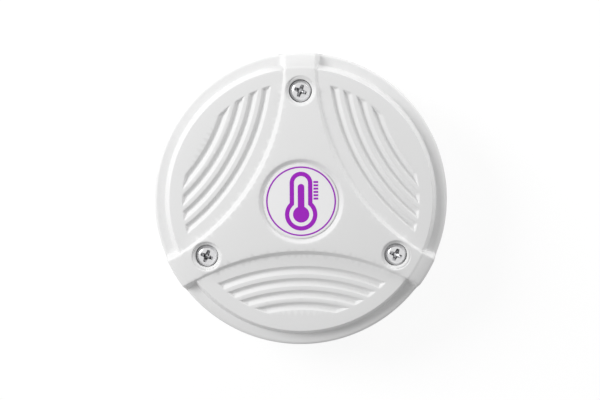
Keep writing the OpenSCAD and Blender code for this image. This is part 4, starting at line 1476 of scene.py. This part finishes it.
def build_cell(scene):
    """Lithium cell in its sleeve, its cradle and its two spring contacts."""
    finishes = scene.sensor_finishes
    inner = in_mm(scene.sensor_inner)
    low, high = node_box("battery_cell")
    middle = (low + high) / 2
    radius = (high.y - low.y) / 2
    film = inner.sleeve_t
    can_r = radius - film - 0.02
    cell_l = high.x - low.x
    cap_h = 0.55
    end = cell_l - cap_h
    cap_r = radius / 3
    lip = inner.sleeve_lip

    def lying(bm):
        return moved(bm, low.x, middle.y, middle.z, math.radians(90), "Y")

    can = turned([
        (0, 0), (cap_r + 0.6, 0), (cap_r + 1.0, 0.3), (radius - 1.2, 0.3), (radius - 0.6, film + 0.02),
        (can_r, 0.6), (can_r, end - 0.6), (radius - 0.6, end - film - 0.02),
        (radius - 1.2, end - 0.35), (cap_r + 0.7, end - 0.35), (cap_r + 0.1, end - 0.1),
        (cap_r, cell_l - 0.25), (cap_r - 0.25, cell_l), (0, cell_l)
    ], 96)
    inner_piece("cell_can", [lying(can)], polished_metal("cell_steel", finishes.steel, 0.2), "battery_cell", False)
    sleeve = turned([
        (radius - lip, 0), (radius - 0.45, 0), (radius - 0.13, 0.13), (radius, 0.45), (radius, end - 0.45),
        (radius - 0.13, end - 0.13), (radius - 0.45, end), (radius - lip, end), (radius - lip, end - film),
        (radius - 0.5, end - film), (radius - film, end - 0.5), (radius - film, 0.5), (radius - 0.5, film),
        (radius - lip, film)
    ], 96)
    band_x = middle.x + cell_l * 0.28
    band_w = 2.4
    green = sleeve_film("cell_sleeve", finishes.sleeve_green, finishes.band_white, band_x, band_w)
    inner_piece("cell_sleeve", [lying(sleeve)], green, "battery_cell", degrees=50)

    black = moulded_plastic("cradle_plastic", finishes.black_resin, 0.5, 0.02)
    dress("battery_cradle", black, inner.soft_edge)

    spring = polished_metal("contact_nickel", finishes.nickel, 0.24)
    for node, side in (("contact_positive", 1), ("contact_negative", -1)):
        low, high = node_box(node)
        near, far = (low.x, high.x) if side > 0 else (-high.x, -low.x)
        plate_t = 0.4
        bend = 0.7
        path = [(near, low.z + 0.05), (near, high.z - bend)]
        path += [
            (near + bend - bend * math.cos(a), high.z - bend + bend * math.sin(a))
            for a in np.radians((22, 45, 68))
        ]
        path += [(near + bend, high.z), (far, high.z)]
        strip = object_from_bmesh("strip", bent_strip(path, -plate_t, low.y, high.y))
        mid_y = (low.y + high.y) / 2
        tongue = (high.y - low.y) / 5
        low_slot, high_slot = low.z + 1.0, low.z + 4.2
        slots = [
            ((near - 1, mid_y - tongue - 0.25, low_slot), (near + 1, mid_y - tongue, high_slot)),
            ((near - 1, mid_y + tongue, low_slot), (near + 1, mid_y + tongue + 0.25, high_slot)),
            ((near - 1, mid_y - tongue - 0.25, low_slot - 0.25), (near + 1, mid_y + tongue + 0.25, low_slot + 0.01)),
        ]
        boolean(strip, [object_from_bmesh("slot", gather([block(*corners)])) for corners in slots])
        if side < 0:
            strip.data.transform(Matrix.Diagonal((-1, 1, 1, 1)))
            strip.data.flip_normals()
        strip.name = node + "_spring"
        finish_piece(strip, spring, node, degrees=40)


def build_radio(scene):
    """Radio module with its edge pads, its pressed shield can and the antenna."""
    finishes = scene.sensor_finishes
    inner = in_mm(scene.sensor_inner)
    gilt = polished_metal("edge_gilt", finishes.gilt, 0.22)
    low, high = node_box("radio_module")
    notch = 0.2
    laminate = block((low.x + notch, low.y, low.z), (high.x - notch, high.y, high.z - 0.03), 0.04, 1)
    inner_piece("module_laminate", [laminate], solder_mask("module_laminate", finishes.mask_blue), "radio_module")
    pads = []
    count = int((high.y - low.y - 1) / inner.pad_pitch) + 1
    for side, edge_x in ((1, high.x), (-1, low.x)):
        for i in range(count):
            y = (low.y + high.y) / 2 + (i - (count - 1) / 2) * inner.pad_pitch
            half = inner.pad_w / 2
            root = edge_x - side * 0.9
            outline = [(root, y - half), (edge_x, y - half)]
            outline += [
                (edge_x - side * notch * math.cos(a), y + notch * math.sin(a))
                for a in np.radians(np.linspace(-90, 90, 7))
            ]
            outline += [(edge_x, y + half), (root, y + half)]
            pads.append(flat_solid(outline, [], low.z, high.z))
    inner_piece("module_edge_pads", pads, gilt, "radio_module", False)

    low, high = node_box("radio_shield")
    wall = 0.25
    can = object_from_bmesh("radio_can", block(low, high, inner.can_round, 4))
    tools = [
        object_from_bmesh("room", block(
            (low.x + wall, low.y + wall, low.z - 1), (high.x - wall, high.y - wall, high.z - wall), 0.1
        )),
        object_from_bmesh("trim", block((low.x - 1, low.y - 1, low.z - 1), (high.x + 1, high.y + 1, low.z + 0.05))),
    ]
    middle = (low + high) / 2
    for i in (-1, 0, 1):
        for j in (-1, 1):
            x, y = middle.x + i * (high.x - low.x) * 0.3, middle.y + j * (high.y - low.y) * 0.32
            tools.append(cylinder_between("vent", 0.35, high.z - 1, high.z + 1, x, y))
    boolean(can, tools)
    tin = polished_metal("shield_tin", finishes.tin, 0.34)
    finish_piece(can, tin, "radio_shield", degrees=40)

    low, high = node_box("antenna")
    cap = 0.9
    body = block((low.x + 0.03, low.y + 0.03, low.z), (high.x - 0.03, high.y - 0.03, high.z - 0.05), 0.07)
    inner_piece("antenna_body", [body], ceramic("antenna_ceramic", finishes.ceramic_cream), "antenna")
    ends = [
        block(low, (low.x + cap, high.y, high.z - 0.02), 0.06),
        block((high.x - cap, low.y, low.z), (high.x, high.y, high.z - 0.02), 0.06),
    ]
    folds = 5
    span = high.x - low.x - 2 * cap
    path = [(low.x + cap, low.y + 0.4)]
    for i in range(folds):
        x = low.x + cap + span * (i + 0.5) / folds
        near, far = (low.y + 0.4, high.y - 0.4) if i % 2 == 0 else (high.y - 0.4, low.y + 0.4)
        path += [(x - 0.05, near), (x + 0.05, far)]
    path.append((high.x - cap, path[-1][1]))
    ends.append(track(path, 0.3, high.z - 0.06, high.z))
    inner_piece("antenna_silver", ends, tin, "antenna", False)


def build_capacitor(scene, tin):
    """Buffer capacitor: crimped aluminium can with a printed segment, on a notched foot with two tabs."""
    finishes = scene.sensor_finishes
    low, high = node_box("buffer_capacitor")
    middle = (low + high) / 2
    half = (high.x - low.x) / 2
    foot_z = low.z + 0.9
    notch = 1.1
    outline = [
        (-half, -half), (half - notch, -half), (half, notch - half), (half, half - notch), (half - notch, half),
        (-half, half)
    ]
    foot = moved(flat_solid(outline, [], low.z + 0.05, foot_z), middle.x, middle.y)
    resin = moulded_plastic("capacitor_foot", finishes.black_resin, 0.5)
    inner_piece("capacitor_foot", [foot], resin, "buffer_capacitor", False)
    r = half - 0.05
    can = turned([
        (0, foot_z - 0.1), (r - 0.3, foot_z - 0.1), (r, foot_z + 0.2), (r, foot_z + 0.55), (r - 0.22, foot_z + 0.75),
        (r - 0.22, foot_z + 0.85), (r, foot_z + 1.05), (r, high.z - 0.35), (r - 0.1, high.z - 0.12),
        (r - 0.35, high.z - 0.03), (0, high.z - 0.03)
    ], 64)
    aluminium = polished_metal("capacitor_can", finishes.aluminium, 0.3)
    inner_piece("capacitor_can", [moved(can, middle.x, middle.y)], aluminium, "buffer_capacitor")
    segment = moved(flat_solid(arc_points(0, 0, r - 0.4, 125, 235, 17), [], high.z - 0.04, high.z),
                    middle.x, middle.y)
    inner_piece("capacitor_mark", [segment], printed_ink("capacitor_ink", finishes.black_resin), "buffer_capacitor",
                False)
    tabs = [
        block((middle.x + x, middle.y - 0.3, low.z), (middle.x + x + 1.0, middle.y + 0.3, low.z + 0.12))
        for x in (-half, half - 1.0)
    ]
    inner_piece("capacitor_tabs", tabs, tin, "buffer_capacitor", False)


def build_chips(scene):
    """Microcontroller, crystal, buffer capacitor, sensor chip with its pad, header and small chips."""
    finishes = scene.sensor_finishes
    inner = in_mm(scene.sensor_inner)
    resin = moulded_plastic("chip_resin", finishes.black_resin, 0.42, 0.015, 6.0)
    tin = polished_metal("joint_tin", finishes.tin, 0.26)
    gilt = polished_metal("pin_gilt", finishes.gilt, 0.18)
    edge = inner.soft_edge

    low, high = node_box("microcontroller")
    middle = (low + high) / 2
    run = inner.lead_run
    body = object_from_bmesh("microcontroller_body", block(
        (low.x + run, low.y + run, low.z + 0.1), (high.x - run, high.y - run, high.z), edge
    ))
    boolean(body, [cylinder_between("mark", 0.25, high.z - 0.06, high.z + 1, low.x + run + 0.7, high.y - run - 0.7)])
    finish_piece(body, resin, "microcontroller")
    half = (high.x - low.x) / 2
    root_z = (low.z + high.z) / 2
    path = [(half - run - 0.1, root_z), (half - run + 0.12, root_z), (half - 0.26, low.z + 0.12), (half, low.z + 0.12)]
    leads = []
    count = int((2 * (half - run) - 0.3) / inner.lead_pitch)
    for quarter in range(4):
        for i in range(count):
            y = (i - (count - 1) / 2) * inner.lead_pitch
            lead = bent_strip(path, -0.11, y - inner.lead_w / 2, y + inner.lead_w / 2)
            leads.append(moved(lead, middle.x, middle.y, 0, math.radians(90 * quarter)))
    inner_piece("microcontroller_leads", leads, tin, "microcontroller", False)

    low, high = node_box("crystal")
    inner_piece("crystal_base", [block(low, (high.x, high.y, low.z + 0.3), 0.05)],
                ceramic("crystal_ceramic", finishes.ceramic_cream), "crystal", False)
    lid = [
        block((low.x + 0.08, low.y + 0.08, low.z + 0.28), (high.x - 0.08, high.y - 0.08, low.z + 0.4), 0.04),
        block((low.x + 0.3, low.y + 0.3, low.z + 0.36), (high.x - 0.3, high.y - 0.3, high.z), 0.12, 3),
    ]
    inner_piece("crystal_lid", lid, polished_metal("crystal_case", finishes.steel, 0.2), "crystal")

    build_capacitor(scene, tin)

    low, high = node_box("temperature_sensor")
    middle_y = (low.y + high.y) / 2
    body = block((low.x + 0.12, low.y, low.z + 0.05), (high.x - 0.12, high.y, high.z), edge)
    inner_piece("sensor_chip", [body], resin, "temperature_sensor")
    feet = [
        block((x, y - 0.16, low.z), (x + 0.4, y + 0.16, low.z + 0.2))
        for x in (low.x, high.x - 0.4) for y in (middle_y - 0.7, middle_y, middle_y + 0.7)
    ]
    inner_piece("sensor_chip_feet", feet, tin, "temperature_sensor", False)
    dress("thermal_pad", rubber("pad_silicone", finishes.pad_pink), edge)

    low, high = node_box("programming_header")
    pitch = HEADER_PITCH
    columns = round((high.x - low.x) / pitch)
    rows = round((high.y - low.y) / pitch)
    housing, pins = [], []
    for column in range(columns):
        for row in range(rows):
            x = low.x + (column + 0.5) * pitch
            y = low.y + (row + 0.5) * pitch
            cell = block((x - pitch / 2, y - pitch / 2, low.z), (x + pitch / 2, y + pitch / 2, low.z + 2), 0.14, 1)
            housing.append(cell)
            pin = turned([
                (0, low.z + 0.5), (0.27, low.z + 0.5), (0.27, high.z - 0.35), (0.12, high.z), (0, high.z)
            ], 4)
            pins.append(moved(pin, x, y, 0, math.radians(45)))
    inner_piece("header_housing", housing, moulded_plastic("header_plastic", finishes.black_resin, 0.45),
                "programming_header")
    inner_piece("header_pins", pins, gilt, "programming_header", False)

    bodies = {"tan": [], "black": []}
    ends = []
    fillet = 0.14
    for i, (low, high) in enumerate(islands("passive_components")):
        near, far = low.x + fillet, high.x - fillet
        run = inner.cap_run
        bodies["tan" if i % 3 else "black"].append(block(
            (near + run - 0.05, low.y + 0.02, low.z + 0.02), (far - run + 0.05, high.y - 0.02, high.z - 0.02), 0.04
        ))
        for start, end, foot in ((near, near + run, low.x), (far - run, far, high.x)):
            ends.append(block((start, low.y, low.z), (end, high.y, high.z), 0.05))
            rise = (high.z - low.z) * 0.6
            wall = start + 0.05 if foot < start else end - 0.05
            outline = [(foot, low.z), (wall, low.z), (wall, low.z + rise)]
            wedge = flat_solid(outline, [], -high.y + 0.08, -low.y - 0.08)
            ends.append(moved(wedge, turn=math.radians(90), axis="X"))
    inner_piece("small_capacitors", bodies["tan"], ceramic("chip_ceramic", finishes.ceramic_tan), "passive_components")
    inner_piece("small_resistors", bodies["black"], ceramic("resistor_glaze", finishes.black_resin),
                "passive_components", False)
    inner_piece("small_chip_ends", ends, tin, "passive_components", False)


def build_switch(scene):
    """Reed switch: blades and bent leads in a sealed glass tube."""
    finishes = scene.sensor_finishes
    inner = in_mm(scene.sensor_inner)
    low, high = node_box("reed_switch")
    middle = (low + high) / 2
    glass_r = (high.y - low.y) / 2
    axis_z = high.z - glass_r
    lead_r = 0.25
    glass_half = (high.x - low.x) / 2 - 1.0
    wall = 0.3

    def capsule(radius, half, flipped=False):
        ends = np.radians(np.linspace(0, 90, 7))
        profile = [(radius * math.sin(a), -half + radius * 0.8 * (1 - math.cos(a))) for a in ends]
        profile += [(r, -z) for r, z in profile[::-1]]
        bm = turned(profile, 40)
        if flipped:
            bmesh.ops.reverse_faces(bm, faces=bm.faces)
        return moved(bm, middle.x, middle.y, axis_z, math.radians(90), "Y")

    shells = [capsule(glass_r, glass_half), capsule(glass_r - wall, glass_half - 0.9, True)]
    inner_piece("reed_glass", shells, tinted_glass("reed_glass", finishes.glass_green), "reed_switch", degrees=60)
    leads = []
    for side in (-1, 1):
        end_x = (high.x - low.x) / 2 - lead_r
        bend = 0.45
        path = [(0.9, axis_z), (end_x - bend, axis_z)]
        path += [
            (end_x - bend + bend * math.sin(a), axis_z - bend + bend * math.cos(a)) for a in np.radians((30, 60, 90))
        ]
        path.append((end_x, low.z))
        tube = tube_along([(side * x, z) for x, z in path], lead_r)
        leads.append(moved(tube, middle.x, middle.y))
        blade_z = axis_z + side * (inner.blade_t / 2 + 0.05)
        ends = sorted((-side * 0.6, side * 2.2))
        blade = block((ends[0], -0.45, blade_z - inner.blade_t / 2), (ends[1], 0.45, blade_z + inner.blade_t / 2), 0.03)
        leads.append(moved(blade, middle.x, middle.y))
    metal = polished_metal("reed_metal", finishes.tin, 0.2)
    inner_piece("reed_blades", leads, metal, "reed_switch", False, 40)


# Stage

def look_rotation(direction, roll=0.0):
    """Rotation that points a camera or a lamp along a direction, with +Y up but for its roll."""
    back = -direction.normalized()
    right = Vector((0, 1, 0)).cross(back).normalized()
    up = back.cross(right)
    return (Matrix((right, up, back)).transposed() @ Matrix.Rotation(roll, 3, "Z")).to_euler()


def studio_world(strength):
    """World that lights from all round and looks pale to the camera, in mirrors and through glass."""
    world = bpy.data.worlds.new("studio")
    world.use_nodes = True
    tree = world.node_tree
    fill = tree.nodes["Background"]
    fill.inputs["Color"].default_value = (1, 1, 1, 1)
    fill.inputs["Strength"].default_value = strength
    pale = tree.nodes.new("ShaderNodeBackground")
    pale.inputs["Strength"].default_value = 1.0
    rays = tree.nodes.new("ShaderNodeLightPath")
    seen = rays.outputs["Is Camera Ray"]
    for kind in ("Is Glossy Ray", "Is Transmission Ray"):
        either = tree.nodes.new("ShaderNodeMath")
        either.operation = "MAXIMUM"
        tree.links.new(seen, either.inputs[0])
        tree.links.new(rays.outputs[kind], either.inputs[1])
        seen = either.outputs["Value"]
    mix_shaders(tree, seen, fill.outputs["Background"], pale.outputs["Background"], "World Output")
    return world


def build_stage(scene):
    """Camera, key and side lamps, fill light and pale floor."""
    stage = scene.sensor_stage
    distance = stage.camera_distance
    lean = Vector((-math.sin(stage.camera_swing), math.sin(stage.camera_tilt), 0))
    lean.z = math.sqrt(1 - lean.length_squared)
    aim_x, aim_y, aim_depth = -0.24, 0.02, 4.4
    target = Vector((aim_x * MM, aim_y * MM, node_box("cover")[1].z * MM - aim_depth * MM))
    camera_data = bpy.data.cameras.new("camera")
    camera_data.lens = stage.lens
    camera = add_object("camera", camera_data)
    camera.location = target + lean * distance
    camera.rotation_euler = look_rotation(target - camera.location, stage.camera_roll)
    scene.camera = camera

    for name, power, azimuth, elevation in (
        ("key", stage.key_power, stage.key_azimuth, stage.key_elevation),
        ("side", stage.side_power, stage.side_azimuth, stage.side_elevation),
    ):
        lamp_data = bpy.data.lights.new(name, "AREA")
        lamp_data.shape = "DISK"
        lamp_data.energy = power
        lamp_data.size = stage.lamp_size
        lamp = add_object(name, lamp_data)
        towards = Vector((math.cos(azimuth), math.sin(azimuth), math.tan(elevation))).normalized()
        lamp.location = target + towards * stage.lamp_distance
        lamp.rotation_euler = look_rotation(-towards)

    scene.world = studio_world(stage.fill_strength)
    bm = bmesh.new()
    floor_half_w, floor_drop = 2000, 0.05
    bmesh.ops.create_grid(bm, x_segments=1, y_segments=1, size=floor_half_w)
    floor = object_from_bmesh("floor", bm)
    floor.location.z = -floor_drop * MM
    floor.data.materials.append(floor_material())
    scene.view_settings.view_transform = "Standard"


# Operators and panel

class SENSOR_OT_build_cover(Operator):
    """Build the moulded front cover"""

    bl_idname = "sensor.build_cover"
    bl_label = "Front Cover"

    def execute(self, context):
        build_cover(context.scene)
        return {"FINISHED"}


class SENSOR_OT_build_label(Operator):
    """Build the front label and its print"""

    bl_idname = "sensor.build_label"
    bl_label = "Front Label"

    def execute(self, context):
        build_label(context.scene)
        return {"FINISHED"}


class SENSOR_OT_build_screws(Operator):
    """Build the cover screws and their washers"""

    bl_idname = "sensor.build_screws"
    bl_label = "Cover Screws"

    def execute(self, context):
        build_screws(context.scene)
        return {"FINISHED"}


class SENSOR_OT_build_base(Operator):
    """Dress the base, the seal and the vent film, and build the knurled inserts"""

    bl_idname = "sensor.build_base"
    bl_label = "Base and Inserts"

    def execute(self, context):
        build_base(context.scene)
        return {"FINISHED"}


class SENSOR_OT_build_board(Operator):
    """Dress the circuit board and build its tracks and screws"""

    bl_idname = "sensor.build_board"
    bl_label = "Circuit Board"

    def execute(self, context):
        build_board(context.scene)
        return {"FINISHED"}


class SENSOR_OT_build_cell(Operator):
    """Build the cell, its cradle and its contacts"""

    bl_idname = "sensor.build_cell"
    bl_label = "Cell and Cradle"

    def execute(self, context):
        build_cell(context.scene)
        return {"FINISHED"}


class SENSOR_OT_build_radio(Operator):
    """Build the radio module, its shield and the antenna"""

    bl_idname = "sensor.build_radio"
    bl_label = "Radio"

    def execute(self, context):
        build_radio(context.scene)
        return {"FINISHED"}


class SENSOR_OT_build_chips(Operator):
    """Build the chips, the crystal, the capacitor and the header"""

    bl_idname = "sensor.build_chips"
    bl_label = "Chips and Header"

    def execute(self, context):
        build_chips(context.scene)
        return {"FINISHED"}


class SENSOR_OT_build_switch(Operator):
    """Build the reed switch"""

    bl_idname = "sensor.build_switch"
    bl_label = "Reed Switch"

    def execute(self, context):
        build_switch(context.scene)
        return {"FINISHED"}


class SENSOR_OT_build_stage(Operator):
    """Set up the camera, the lights and the floor"""

    bl_idname = "sensor.build_stage"
    bl_label = "Stage"

    def execute(self, context):
        build_stage(context.scene)
        return {"FINISHED"}


class SENSOR_PT_panel(Panel):
    """Lists the sensor's pieces in the sidebar"""

    bl_idname = "SENSOR_PT_panel"
    bl_label = "Outdoor Temperature Sensor"
    bl_space_type = "VIEW_3D"
    bl_region_type = "UI"
    bl_category = "Sensor"

    def draw(self, context):
        for operator in OPERATORS:
            self.layout.operator(operator.bl_idname)


GROUPS = {
    "sensor_cover": SensorCoverSizes,
    "sensor_label": SensorLabelSizes,
    "sensor_screws": SensorScrewSizes,
    "sensor_inner": SensorInnerSizes,
    "sensor_finishes": SensorFinishes,
    "sensor_stage": SensorStage,
}
OPERATORS = (
    SENSOR_OT_build_cover, SENSOR_OT_build_label, SENSOR_OT_build_screws, SENSOR_OT_build_base,
    SENSOR_OT_build_board, SENSOR_OT_build_cell, SENSOR_OT_build_radio, SENSOR_OT_build_chips,
    SENSOR_OT_build_switch, SENSOR_OT_build_stage
)


def register():
    """Registers the classes and hangs the property groups on the scene."""
    for cls in (*GROUPS.values(), *OPERATORS, SENSOR_PT_panel):
        bpy.utils.register_class(cls)
    for name, group in GROUPS.items():
        setattr(bpy.types.Scene, name, PointerProperty(type=group))


def unregister():
    """Takes the property groups off the scene and unregisters the classes."""
    for name in GROUPS:
        delattr(bpy.types.Scene, name)
    for cls in (SENSOR_PT_panel, *reversed(OPERATORS), *GROUPS.values()):
        bpy.utils.unregister_class(cls)


def main():
    """Builds every piece and the stage."""
    register()
    bpy.ops.sensor.build_cover()
    bpy.ops.sensor.build_label()
    bpy.ops.sensor.build_screws()
    bpy.ops.sensor.build_base()
    bpy.ops.sensor.build_board()
    bpy.ops.sensor.build_cell()
    bpy.ops.sensor.build_radio()
    bpy.ops.sensor.build_chips()
    bpy.ops.sensor.build_switch()
    bpy.ops.sensor.build_stage()


if __name__ == "__main__":
    main()
